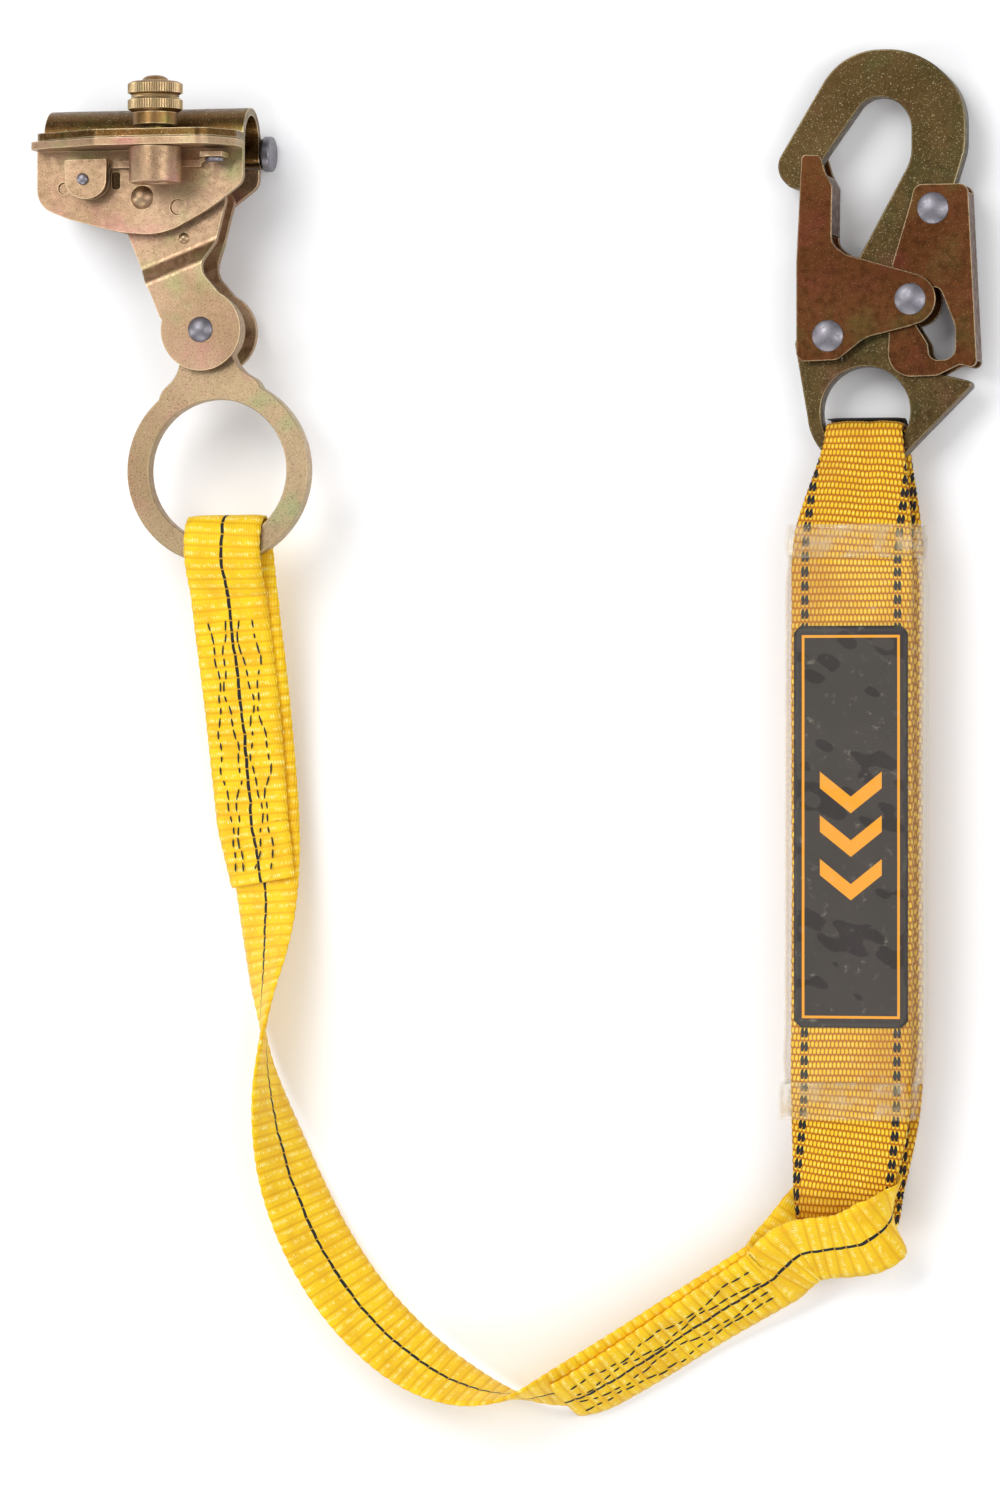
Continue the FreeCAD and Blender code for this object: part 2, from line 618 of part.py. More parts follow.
LOCK_CORNERS = [
    (16.4, 72.7, 3),
    (33.6, 72.7, 3),
    (36.6, 13.2, 2),
    (31.0, 14.8, 3),
    (23.8, 11.2, 5),
    (7.4, 10.8, 7.5),
    (9.1, 46.9, 8),
    (14.8, 66.0, 6),
]
WINDOW_CORNERS = [
    (11.3, 39.8, 3),
    (24.6, 39.6, 3),
    (29.6, 27.0, 8),
    (29.6, 16.2, 4.2),
    (21.2, 16.2, 3),
    (20.6, 21.5, 4),
    (15.2, 30.0, 3),
    (11.3, 32.6, 2),
]


def lock_lever():
    """Lock: two flanges over the spine, each with a window for the gate's tail pin, and a back."""
    out = LOCK_IN + HOOK_SHEET
    full = plate(LOCK_CORNERS, -out, out)
    inner = plate(LOCK_CORNERS, -LOCK_IN, LOCK_IN)
    inner.translate(V(-HOOK_SHEET, 0, 0))
    inner = inner.fuse(box(-60, 60, 0, 16, -LOCK_IN, LOCK_IN))
    inner = inner.fuse(box(-60, 28, 0, 99, -LOCK_IN, LOCK_IN))
    inner = inner.fuse(box(-60, 60, 70, 99, -LOCK_IN, LOCK_IN))
    solid = full.cut(inner).cut(plate(WINDOW_CORNERS, -99, 99))
    return solid.cut(rod(LOCK_PIVOT, -99, 99, HOOK_PIN_R + FIT)).removeSplitter()


def gate_pivot_rivet():
    """Rivet that the gate turns on, through the hook plate."""
    return rivet(GATE_PIVOT, -GATE_OUT, GATE_OUT, HOOK_PIN_R, HOOK_HEAD_R, HOOK_HEAD)


def gate_tail_rivet():
    """Rivet at the gate's tail, which moves in the lock's window."""
    return rivet(GATE_TAIL, -GATE_OUT, GATE_OUT, HOOK_PIN_R, HOOK_HEAD_R, HOOK_HEAD)


def lock_pivot_rivet():
    """Rivet that the lock turns on, through the spine of the hook."""
    out = LOCK_IN + HOOK_SHEET
    return rivet(LOCK_PIVOT, -out, out, HOOK_PIN_R, HOOK_HEAD_R, HOOK_HEAD)


def gate_spring():
    """Torsion spring round the gate's pivot, between the hook plate and the front flange."""
    return coil(GATE_PIVOT, HOOK_PLATE / 2 + 0.1, 1.0, 0.42, HOOK_PIN_R + 1.2, 8)


def lock_spring():
    """Leaf spring between the spine and the back of the lock."""
    leaf = [
        (27.2, 66.0, 0),
        (27.9, 66.2, 0),
        (29.0, 54.0, 20),
        (33.2, 38.0, 0),
        (32.5, 37.7, 0),
        (28.3, 54.0, 20),
    ]
    return plate(leaf, -2.5, 2.5)


SPAN = 6                # sections lofted at a time


def strip(stations, thick):
    """A flat band through stations (centre, across, width), each section square to the path."""
    sections = []
    for i, (centre, across, width) in enumerate(stations):
        ahead = stations[min(i + 1, len(stations) - 1)][0]
        behind = stations[max(i - 1, 0)][0]
        along = ahead - behind
        along.normalize()
        side = across - along * across.dot(along)
        side.normalize()
        face = along.cross(side)
        a = side * (width / 2)
        b = face * (thick / 2)
        corners = [centre + a + b, centre - a + b, centre - a - b, centre + a - b, centre + a + b]
        sections.append(Part.makePolygon(corners))
    spans = []
    for i in range(0, len(sections) - 1, SPAN):
        spans.append(Part.makeLoft(sections[i:i + SPAN + 1], True, True))
    return spans[0].fuse(spans[1:]) if len(spans) > 1 else spans[0]


def route_stations():
    """Straight runs joined by tangent arcs, as large as the runs allow, sampled along the route."""
    points = [V(p[0], p[1], p[2]) for p in WEB_ROUTE]
    turns = [p[3] for p in WEB_ROUTE]
    places = [(points[0], turns[0])]
    for i in range(1, len(points) - 1):
        back = points[i - 1] - points[i]
        ahead = points[i + 1] - points[i]
        reach = 0.45 * min(back.Length, ahead.Length)
        back.normalize()
        ahead.normalize()
        half = back.getAngle(ahead) / 2
        radius = reach * math.tan(half)
        middle = points[i] + (back + ahead).normalize() * (radius / math.sin(half) - radius)
        share = 0.45 * 0.5
        before = turns[i] + (turns[i - 1] - turns[i]) * share
        after = turns[i] + (turns[i + 1] - turns[i]) * share
        places.append((points[i] + back * reach, before))
        places.append((middle, turns[i]))
        places.append((points[i] + ahead * reach, after))
    places.append((points[-1], turns[-1]))
    stations = []
    for i, (centre, turn) in enumerate(places):
        along = places[min(i + 1, len(places) - 1)][0] - places[max(i - 1, 0)][0]
        along.normalize()
        level = V(0, 0, 1).cross(along)
        level.normalize()
        rise = along.cross(level)
        angle = math.radians(turn)
        stations.append((centre, level * math.cos(angle) + rise * math.sin(angle), WEB_WIDTH))
    return stations


def route_radii():
    """Bend radius at each inner point of the route."""
    radii = []
    for before, here, after in zip(WEB_ROUTE, WEB_ROUTE[1:], WEB_ROUTE[2:]):
        back = V(*before[:3]) - V(*here[:3])
        ahead = V(*after[:3]) - V(*here[:3])
        reach = 0.45 * min(back.Length, ahead.Length)
        radii.append(round(reach * math.tan(back.getAngle(ahead) / 2)))
    return radii


def beside(stations, offset):
    """The same stations moved along their face normal by the offset."""
    moved = []
    for i, (centre, across, width) in enumerate(stations):
        along = stations[min(i + 1, len(stations) - 1)][0] - stations[max(i - 1, 0)][0]
        normal = along.cross(across)
        normal.normalize()
        moved.append((centre + normal * offset, across, width))
    return moved


def web_length():
    """Length of the free web along its arcs."""
    stations = route_stations()
    total = 0
    for i in range(len(stations) - 1):
        total += (stations[i + 1][0] - stations[i][0]).Length
    return total


def lanyard_web():
    """The free web, from below the ring to the pack's lower loop."""
    return strip(route_stations(), WEB_THICK)


def ring_tail():
    """End of the web sewn back on itself below the ring."""
    kept = [s for s in route_stations() if s[0].y > TAIL_END_Y]
    return strip(beside(kept, LAYER), WEB_THICK)


def pack_tail():
    """End of the web sewn back on itself beside the pack."""
    kept = [s for s in route_stations() if s[0].x > PACK_TAIL_X]
    return strip(beside(kept, LAYER), WEB_THICK)


def ring_loop():
    """The web where it goes round the ring, lying clear of the ring on both faces."""
    y0 = WEB_ROUTE[0][1]
    z0 = WEB_ROUTE[0][2]
    half = WEB_THICK / 2
    ring_x = RING_AT[0] - WEB_ROUTE[0][0]
    reach = math.sqrt(RING_IN ** 2 - (WEB_WIDTH / 2 + abs(ring_x)) ** 2)
    crest = RING_AT[1] - reach + RING_WEB_GAP
    low = RING_Z0 - RING_WEB_GAP
    high = RING_Z1 + RING_WEB_GAP
    outer = [
        (y0, z0 - half, 0),
        (y0 + 11, low - WEB_THICK, 8),
        (crest + WEB_THICK, low - WEB_THICK, 2.8),
        (crest + WEB_THICK, high + WEB_THICK, 2.8),
        (y0 + 9, high + WEB_THICK, 6),
        (y0, z0 + LAYER + half, 0),
    ]
    inner = [
        (y0 + 2, z0 + half + 0.3, 0),
        (y0 + 11, low, 6),
        (crest, low, 1),
        (crest, high, 1),
        (y0 + 9.5, high, 4),
    ]
    left = WEB_ROUTE[0][0] - WEB_WIDTH / 2
    solid = plate(outer, left, left + WEB_WIDTH).cut(plate(inner, left - 1, left + WEB_WIDTH + 1))
    return turn_to_x(solid)


def turn_to_x(solid):
    """Lay a section drawn as (y, z) with its length along Z so that its length runs along X."""
    solid.rotate(V(0, 0, 0), V(0, 0, 1), 90)
    solid.rotate(V(0, 0, 0), V(0, 1, 0), 90)
    return solid


def pack_loop():
    """The web round the pack's lower loop: in front of its front layer, then back through it."""
    end = route_stations()[-1]
    last = route_stations()[-2:]
    over = beside(last, LAYER)[-1]
    slant = V(-0.42, 0.9, 0.1)
    stations = [
        (over[0], end[1], WEB_WIDTH),
        (V(96.1, -198.3, 21.6), V(-0.5, 0.8, 0.3), WEB_WIDTH),
        (V(107.1, -192.3, 23.6), slant, WEB_WIDTH),
        (V(119.1, -186.5, 23.0), slant, WEB_WIDTH),
        (V(129.6, -179.4, 20.8), V(-0.2, 0.97, 0.05), WEB_WIDTH - 2),
        (V(134.7, -181.3, 15.8), V(-0.02, 1, 0), WEB_WIDTH - 4),
        (V(130.7, -179.3, 11.8), V(0, 1, 0), 19.0),
        (V(121.1, -175.2, PACK_LOOP_Z), V(-0.05, 1, 0), 18.0),
        (V(105.1, -175.0, PACK_LOOP_Z), V(0, 1, 0), 18.0),
        (V(92.6, -179.4, PACK_LOOP_Z + 0.4), V(-0.5, 0.85, 0.1), 19.5),
        (V(88.7, -191.7, 12.0), V(-0.8, 0.55, 0.2), 22.0),
    ]
    return strip(stations, WEB_THICK)



def fold_places(inset):
    """The pack web from the top of its fold in the eye down to the front of the pack."""
    crest = FOLD_INNER + PAD_THICK + PACK_WEB_THICK / 2 + 1.6 - inset
    half = LOOP_HALF - inset
    return [
        (crest, HOOK_Z, EYE_WEB_WIDTH),
        (crest - 0.5, HOOK_Z + half * 0.55, EYE_WEB_WIDTH),
        (crest - 2.2, HOOK_Z + half * 0.88, EYE_WEB_WIDTH),
        (crest - 4.6, HOOK_Z + half, EYE_WEB_WIDTH + 0.6),
        (crest - 13.0, HOOK_Z + half + 0.2, 28.0),
    ]


def pack_places():
    """Front half of the pack's web, top fold to bottom fold: y, z and width."""
    front = PACK_Z + PACK_CORE / 2 + PACK_WEB_THICK / 2
    half = LOOP_HALF_LOW
    mid_y = LOOP_BOTTOM + PACK_WEB_THICK / 2 + half
    places = fold_places(0)
    places.append((CORE_TOP + 16.0, HOOK_Z + LOOP_HALF + 1.0, 34.0))
    places.append((CORE_TOP, front, PACK_WEB_WIDTH))
    places.append((CORE_BOTTOM, front, PACK_WEB_WIDTH))
    places.append((CORE_BOTTOM - 16.0, PACK_LOOP_Z + half + 2.0, 38.0))
    places.append((mid_y + 3, PACK_LOOP_Z + half, 33.0))
    for degrees in (0, 30, 60, 90):
        angle = math.radians(degrees)
        places.append((mid_y - half * math.sin(angle), PACK_LOOP_Z + half * math.cos(angle), 32.0))
    return places


def middle_x(y):
    """Middle of the pack's web at that height: it leans a little at both ends."""
    if y > CORE_TOP:
        return PACK_X + (EYE_AT[0] - PACK_X) * min(1, (y - CORE_TOP) / (FOLD_INNER - 6 - CORE_TOP))
    if y < CORE_BOTTOM:
        return PACK_X - LOOP_LEAN * min(1, (CORE_BOTTOM - y) / (CORE_BOTTOM - LOOP_BOTTOM - 12))
    return PACK_X


def folded(places, thick):
    """A web through (y, z, width) places in front, and the same behind, as one closed loop."""
    front = []
    rear = []
    for y, z, width in places:
        x = middle_x(y)
        axis = PACK_LOOP_Z
        if y > CORE_BOTTOM - 1:
            axis = PACK_Z
        if y > CORE_TOP + 1:
            axis = HOOK_Z
        front.append((V(x, y, z), V(1, 0, 0), width))
        rear.append((V(x, y, 2 * axis - z), V(1, 0, 0), width))
    return strip(front, thick).fuse(strip(rear, thick))


def pack_web():
    """Wide web of the shock pack: round the eye of the hook, over the pack, and its lower loop."""
    return folded(pack_places(), PACK_WEB_THICK).removeSplitter()


def wear_pad():
    """Thin pad between the pack's web and the eye."""
    inset = (PACK_WEB_THICK + PAD_THICK) / 2 + 0.05
    return folded(fold_places(inset), PAD_THICK).removeSplitter()


def tear_webbing():
    """The folded webbing inside the pack that tears open in a fall."""
    half = PACK_WEB_WIDTH / 2 - 1.5
    thick = PACK_CORE / 2 - 0.1
    top = CORE_TOP - 2
    bottom = CORE_BOTTOM + 2
    x = middle_x((top + bottom) / 2)
    corners = []
    for a, b in ((-1, -1), (1, -1), (1, 1), (-1, 1)):
        corners.append((x + a * half, b * thick, 3))
    solid = plate(corners, -top, -bottom)
    solid.rotate(V(0, 0, 0), V(1, 0, 0), 90)
    solid.translate(V(0, 0, PACK_Z))
    return solid


def tube_section(half_wide, half_high, top, bottom, x):
    """A bar of rounded rectangular section along Y, about the middle of the pack."""
    corners = []
    for a, b in ((-1, -1), (1, -1), (1, 1), (-1, 1)):
        corners.append((x + a * half_wide, b * half_high, half_wide - PACK_WEB_WIDTH / 2 + 0.1))
    solid = plate(corners, -top, -bottom)
    solid.rotate(V(0, 0, 0), V(1, 0, 0), 90)
    solid.translate(V(0, 0, PACK_Z + LABEL_THICK / 2))
    return solid


def clear_sleeve():
    """Clear sleeve shrunk over the pack and open at both ends."""
    half_wide = SLEEVE_WIDTH / 2
    half_high = PACK_CORE / 2 + PACK_WEB_THICK + LABEL_THICK / 2 + LABEL_GAP
    x = middle_x((PACK_TOP + PACK_BOTTOM) / 2)
    outer = tube_section(half_wide, half_high + SLEEVE_WALL - 0.1, PACK_TOP, PACK_BOTTOM, x)
    inner = tube_section(half_wide - SLEEVE_WALL, half_high, PACK_TOP + 1, PACK_BOTTOM - 1, x)
    return outer.cut(inner)


def label():
    """Printed label under the sleeve, on the front of the pack."""
    z = PACK_Z + PACK_CORE / 2 + PACK_WEB_THICK + LABEL_GAP
    y = PACK_TOP - LABEL_DROP
    x = middle_x(y - LABEL_LENGTH / 2)
    return box(x - LABEL_WIDTH / 2, x + LABEL_WIDTH / 2, y - LABEL_LENGTH, y, z, z + LABEL_THICK)


def placed(solid, at, z):
    """The solid moved from its assembly's own place to where it lies."""
    solid.translate(V(at[0], at[1], z))
    return solid


GRAB = [
    body_front_plate, body_rear_plate, body_spacer, cam_pivot_pin, threaded_boss, cover, hinge_pin,
    clamp_stud, thumb_knob, latch_lever, latch_pin, latch_button, lever_plate, lever_rear_plate, cam,
    cam_rivet, cam_spring, lever_rivet, ring_spacer, attachment_ring,
]
HOOK = [
    hook_body, gate, lock_lever, gate_pivot_rivet, gate_tail_rivet, lock_pivot_rivet, gate_spring,
    lock_spring,
]
SOFT = [
    lanyard_web, ring_tail, pack_tail, ring_loop, pack_loop, pack_web, wear_pad, tear_webbing,
    clear_sleeve, label,
]
NAMES = {"lever_plate": "lever_front_plate"}


def main():
    os.makedirs("parts", exist_ok=True)
    for group, at, z in ((GRAB, GRAB_AT, 0), (HOOK, EYE_AT, HOOK_Z), (SOFT, (0, 0), 0)):
        for make in group:
            name = NAMES.get(make.__name__, make.__name__)
            solid = placed(make(), at, z)
            if not solid.isValid() or len(solid.Solids) != 1:
                print("CHECK", name, solid.isValid(), len(solid.Solids))
            solid.exportStep("parts/" + name + ".step")
    web = lanyard_web()
    print("web bend radii", route_radii())
    print("web length", round(web_length(), 1))
    print("web volume ratio", round(web.Volume / (web_length() * WEB_WIDTH * WEB_THICK), 4))


main()
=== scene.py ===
"""Rope grab on a shock-absorbing web lanyard with a double-locking snap hook.

Everything is in metres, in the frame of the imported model: the part lies flat, +Z up, +Y towards
the grab and the hook, and the lifeline rope would run along X through the grab.
"""
import math

import bmesh
import bpy
import numpy as np
from mathutils import Matrix, Vector


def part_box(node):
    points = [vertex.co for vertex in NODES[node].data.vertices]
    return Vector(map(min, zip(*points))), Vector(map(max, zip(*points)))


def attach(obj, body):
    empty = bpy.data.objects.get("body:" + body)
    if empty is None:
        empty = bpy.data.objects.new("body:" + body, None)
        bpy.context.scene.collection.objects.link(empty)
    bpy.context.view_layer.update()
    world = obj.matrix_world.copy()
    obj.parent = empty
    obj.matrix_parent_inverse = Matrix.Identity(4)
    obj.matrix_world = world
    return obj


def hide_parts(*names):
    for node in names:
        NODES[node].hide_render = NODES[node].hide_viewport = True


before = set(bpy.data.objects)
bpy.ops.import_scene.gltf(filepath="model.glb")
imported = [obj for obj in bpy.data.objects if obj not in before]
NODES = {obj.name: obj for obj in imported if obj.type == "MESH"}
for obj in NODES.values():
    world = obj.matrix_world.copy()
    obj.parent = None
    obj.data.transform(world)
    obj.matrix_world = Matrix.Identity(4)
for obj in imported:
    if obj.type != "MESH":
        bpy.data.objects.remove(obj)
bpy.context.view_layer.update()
MM = 0.001

# ---------------------------------------------------------------- route of the free web
# x, y, z in metres and the turn of the web's face from lying flat, in degrees.
WEB_ROUTE = [
    (-0.0891, 0.0153, 0.0184, 0),
    (-0.0875, -0.0057, 0.0142, 0),
    (-0.0853, -0.0357, 0.0090, 3),
    (-0.0831, -0.0687, 0.0066, 12),
    (-0.0823, -0.0977, 0.0082, 38),
    (-0.0825, -0.1237, 0.0139, 70),
    (-0.0811, -0.1477, 0.0152, 98),
    (-0.0747, -0.1747, 0.0134, 126),
    (-0.0639, -0.1997, 0.0120, 138),
    (-0.0479, -0.2217, 0.0120, 138),
    (-0.0275, -0.2387, 0.0126, 128),
    (-0.0039, -0.2473, 0.0151, 100),
    (0.0191, -0.2441, 0.0144, 54),
    (0.0411, -0.2313, 0.0130, 49),
    (0.0641, -0.2167, 0.0126, 46),
    (0.0871, -0.2033, 0.0140, 38),
]
WEB_WIDTH = 0.0254
WEB_THICK = 0.0018
LAYER = 0.00215         # from one sewn layer's middle to the next
PACK_END_SLIP = 0.0045  # how far the tail at the pack is sewn below the free web's middle
RING_END_SLIP = -0.0030  # how far the tail at the ring is sewn along X from the free web's middle
RING_TAIL_Y = -0.0797   # where the tail at the ring is cut
PACK_TAIL_X = 0.0171    # where the tail at the pack is cut
PACK_JOIN_X = 0.0871    # where the free web goes into the loop at the pack
FLOOR_GAP = 0.0002      # the least height of the pack's webbing; its sleeve keeps half of it
RIB = 0.0038            # pitch of the web's cross ribs
PACK_RIB = 0.00224      # pitch of the pack webbing's weft rows
SEED = 0.00130          # width of one raised stitch of its weave
PAD_RIB = 0.0022        # pitch of the wear pad's ribs
UP = Vector((0, 0, 1))

# ---------------------------------------------------------------- camera, light, floor
VIEW_SIDE = math.radians(13)    # the camera stands this far to the right of straight above
VIEW_AWAY = 2.2
FRAME_HEIGHT = 0.489            # what the frame's height covers at the object


def build_studio():
    """Camera above the part, soft white light from above and both sides, and a pale floor."""
    aim = Vector((-0.0029, -0.0357, 0.012))
    cam = bpy.data.cameras.new("camera")
    cam.sensor_fit = "AUTO"
    cam.sensor_width = 36
    cam.lens = 36 * VIEW_AWAY / FRAME_HEIGHT
    camera = bpy.data.objects.new("camera", cam)
    camera.location = aim + VIEW_AWAY * Vector((math.sin(VIEW_SIDE), 0, math.cos(VIEW_SIDE)))
    camera.rotation_euler = (0, VIEW_SIDE, 0)
    bpy.context.scene.collection.objects.link(camera)
    bpy.context.scene.camera = camera

    for name, place, size, power in (
        ("key", (-0.55, 0.75, 1.25), (0.9, 0.9), 12.5),
        ("fill", (0.95, 0.10, 0.95), (0.6, 1.2), 7),
        ("low", (-0.2, -1.1, 0.8), (1.2, 0.5), 6),
        ("strip", (-1.1, -0.1, 0.45), (0.25, 1.2), 4),
    ):
        light = bpy.data.lights.new(name, "AREA")
        light.shape = "RECTANGLE"
        light.size, light.size_y = size
        light.energy = power
        lamp = bpy.data.objects.new(name, light)
        lamp.location = place
        lamp.rotation_euler = (aim - Vector(place)).to_track_quat("-Z", "Y").to_euler()
        bpy.context.scene.collection.objects.link(lamp)

    world = bpy.data.worlds.new("studio")
    world.use_nodes = True
    world.node_tree.nodes["Background"].inputs["Color"].default_value = (0.93, 0.95, 1, 1)
    world.node_tree.nodes["Background"].inputs["Strength"].default_value = 0.40
    bpy.context.scene.world = world
    bpy.context.scene.view_settings.view_transform = "Standard"

    floor_mesh = bpy.data.meshes.new("floor")
    reach = 2.5
    floor_mesh.from_pydata(
        [(-reach, -reach, 0), (reach, -reach, 0), (reach, reach, 0), (-reach, reach, 0)],
        [], [(0, 1, 2, 3)],
    )
    floor = bpy.data.objects.new("floor", floor_mesh)
    bpy.context.scene.collection.objects.link(floor)
    floor.data.materials.append(plain_floor())


# ---------------------------------------------------------------- shader helpers
class Shader:
    """A material under construction: a Principled shader and short calls to feed it."""

    def __init__(self, name, **sockets):
        self.mat = bpy.data.materials.new(name)
        self.mat.use_nodes = True
        self.tree = self.mat.node_tree
        self.main = self.tree.nodes["Principled BSDF"]
        for socket, value in sockets.items():
            self.main.inputs[socket.replace("_", " ")].default_value = value
        self.coords = self.tree.nodes.new("ShaderNodeTexCoord")

    def put(self, node, socket, value):
        """Link a socket, or set it when the value is plain."""
        if isinstance(value, bpy.types.NodeSocket):
            self.tree.links.new(value, node.inputs[socket])
        elif value is not None:
            node.inputs[socket].default_value = value

    def feed(self, socket, value):
        self.put(self.main, socket, value)

    def sum(self, kind, a, b=None, c=None):
        node = self.tree.nodes.new("ShaderNodeMath")
        node.operation = kind
        for i, value in enumerate((a, b, c)):
            self.put(node, i, value)
        return node.outputs[0]

    def noise(self, scale, detail=3.0, place=None, rough=0.5):
        node = self.tree.nodes.new("ShaderNodeTexNoise")
        self.put(node, "Vector", place or self.coords.outputs["Object"])
        self.put(node, "Scale", scale)
        self.put(node, "Detail", detail)
        self.put(node, "Roughness", rough)
        return node.outputs["Fac"]

    def span(self, value, low, high, to_low=0.0, to_high=1.0, smooth=True):
        node = self.tree.nodes.new("ShaderNodeMapRange")
        node.interpolation_type = "SMOOTHSTEP" if smooth else "LINEAR"
        for socket, v in zip(range(5), (value, low, high, to_low, to_high)):
            self.put(node, socket, v)
        return node.outputs[0]

    def mix(self, share, a, b, kind="MIX"):
        node = self.tree.nodes.new("ShaderNodeMix")
        node.data_type = "RGBA"
        node.blend_type = kind
        self.put(node, 0, share)
        self.put(node, 6, a)
        self.put(node, 7, b)
        return node.outputs[2]

    def ramp(self, value, stops):
        node = self.tree.nodes.new("ShaderNodeValToRGB")
        self.put(node, 0, value)
        marks = node.color_ramp.elements
        while len(marks) < len(stops):
            marks.new(0.5)
        for mark, (place, colour) in zip(marks, stops):
            mark.position = place
            mark.color = colour
        return node.outputs["Color"]

    def uv(self):
        """Distance along and across the web, in centimetres."""
        node = self.tree.nodes.new("ShaderNodeSeparateXYZ")
        self.put(node, 0, self.coords.outputs["UV"])
        return node.outputs[0], node.outputs[1]

    def bump(self, height, strength, distance, after=None):
        node = self.tree.nodes.new("ShaderNodeBump")
        self.put(node, "Height", height)
        self.put(node, "Strength", strength)
        self.put(node, "Distance", distance)
        self.put(node, "Normal", after)
        return node.outputs[0]


def rgb(red, green, blue):
    """A colour given as it looks on screen, 0 to 255, as linear values."""
    linear = []
    for part in (red, green, blue):
        part /= 255
        linear.append(part / 12.92 if part < 0.04045 else ((part + 0.055) / 1.055) ** 2.4)
    return (*linear, 1.0)


def plain_floor():
    """Matt white floor."""
    s = Shader("studio_floor", Base_Color=rgb(253, 253, 253), Roughness=0.9)
    s.main.inputs["Specular IOR Level"].default_value = 0.1
    return s.mat


def zinc(name, base, warm, cool, rough, grain, glints):
    """Yellow chromate over zinc: drifting pink and green tints, large soft patches of painted shade, fine
    grain, painted glints, and edges lightened by wear and a painted highlight.
    """
    s = Shader(name, Metallic=1.0)
    drift = s.noise(55, 2.5, rough=0.6)
    tint = s.ramp(drift, [(0.30, cool), (0.46, base), (0.56, base), (0.72, warm)])
    cloud = s.noise(170, 4.0, rough=0.7)
    tint = s.mix(s.span(cloud, 0.45, 0.75, 0.0, 0.22), tint, warm)
    # Painted shade: large soft darker patches that stand in for the contrast of reflections across the
    # metal.
    painted_shade_patches = s.span(s.noise(26, 2.0, rough=0.6), 0.36, 0.66, 0.0, 0.55)
    tint = s.mix(painted_shade_patches, tint, rgb(196, 186, 170), "MULTIPLY")
    speck = s.noise(1700, 2.0)
    tint = s.mix(s.span(speck, 0.52, 0.72, 0.0, grain), tint, rgb(120, 96, 66), "MULTIPLY")
    # Painted glints: tiny pale specks that stand in for sparkling highlights.
    painted_glint_noise = s.noise(2300, 1.0)
    tint = s.mix(s.span(painted_glint_noise, 0.62, 0.74, 0.0, glints), tint, rgb(240, 222, 176))
    # Painted edge highlight, with some wear: a pale tint where the rounded-edge normal leaves the face
    # normal.
    round_edge = s.tree.nodes.new("ShaderNodeBevel")
    round_edge.samples = 4
    round_edge.inputs["Radius"].default_value = 0.0006
    flat = s.tree.nodes.new("ShaderNodeNewGeometry")
    near = s.tree.nodes.new("ShaderNodeVectorMath")
    near.operation = "DOT_PRODUCT"
    s.put(near, 0, round_edge.outputs[0])
    s.put(near, 1, flat.outputs["Normal"])
    wear_and_painted_edge_highlight = s.span(near.outputs["Value"], 0.90, 0.995, 0.75, 0.0)
    tint = s.mix(wear_and_painted_edge_highlight, tint, rgb(236, 214, 170))
    s.feed("Base Color", tint)
    s.feed("Roughness", s.span(s.noise(420, 3.0), 0.3, 0.7, rough - 0.06, rough + 0.12))
    fine = s.bump(s.noise(1500, 3.0), 0.28, 0.00006)
    s.feed("Normal", s.bump(s.noise(120, 2.0), 0.08, 0.0003, fine))
    return s.mat


def bright_steel(name, colour, rough):
    """Polished rivet steel with fine scratches."""
    s = Shader(name, Metallic=1.0)
    tint = s.mix(s.span(s.noise(260, 3.0), 0.35, 0.7, 0.0, 0.5), colour, rgb(126, 120, 124))
    s.feed("Base Color", tint)
    s.feed("Roughness", s.span(s.noise(900, 4.0), 0.3, 0.7, rough - 0.05, rough + 0.12))
    s.feed("Normal", s.bump(s.noise(900, 3.0), 0.12, 0.00006))
    return s.mat


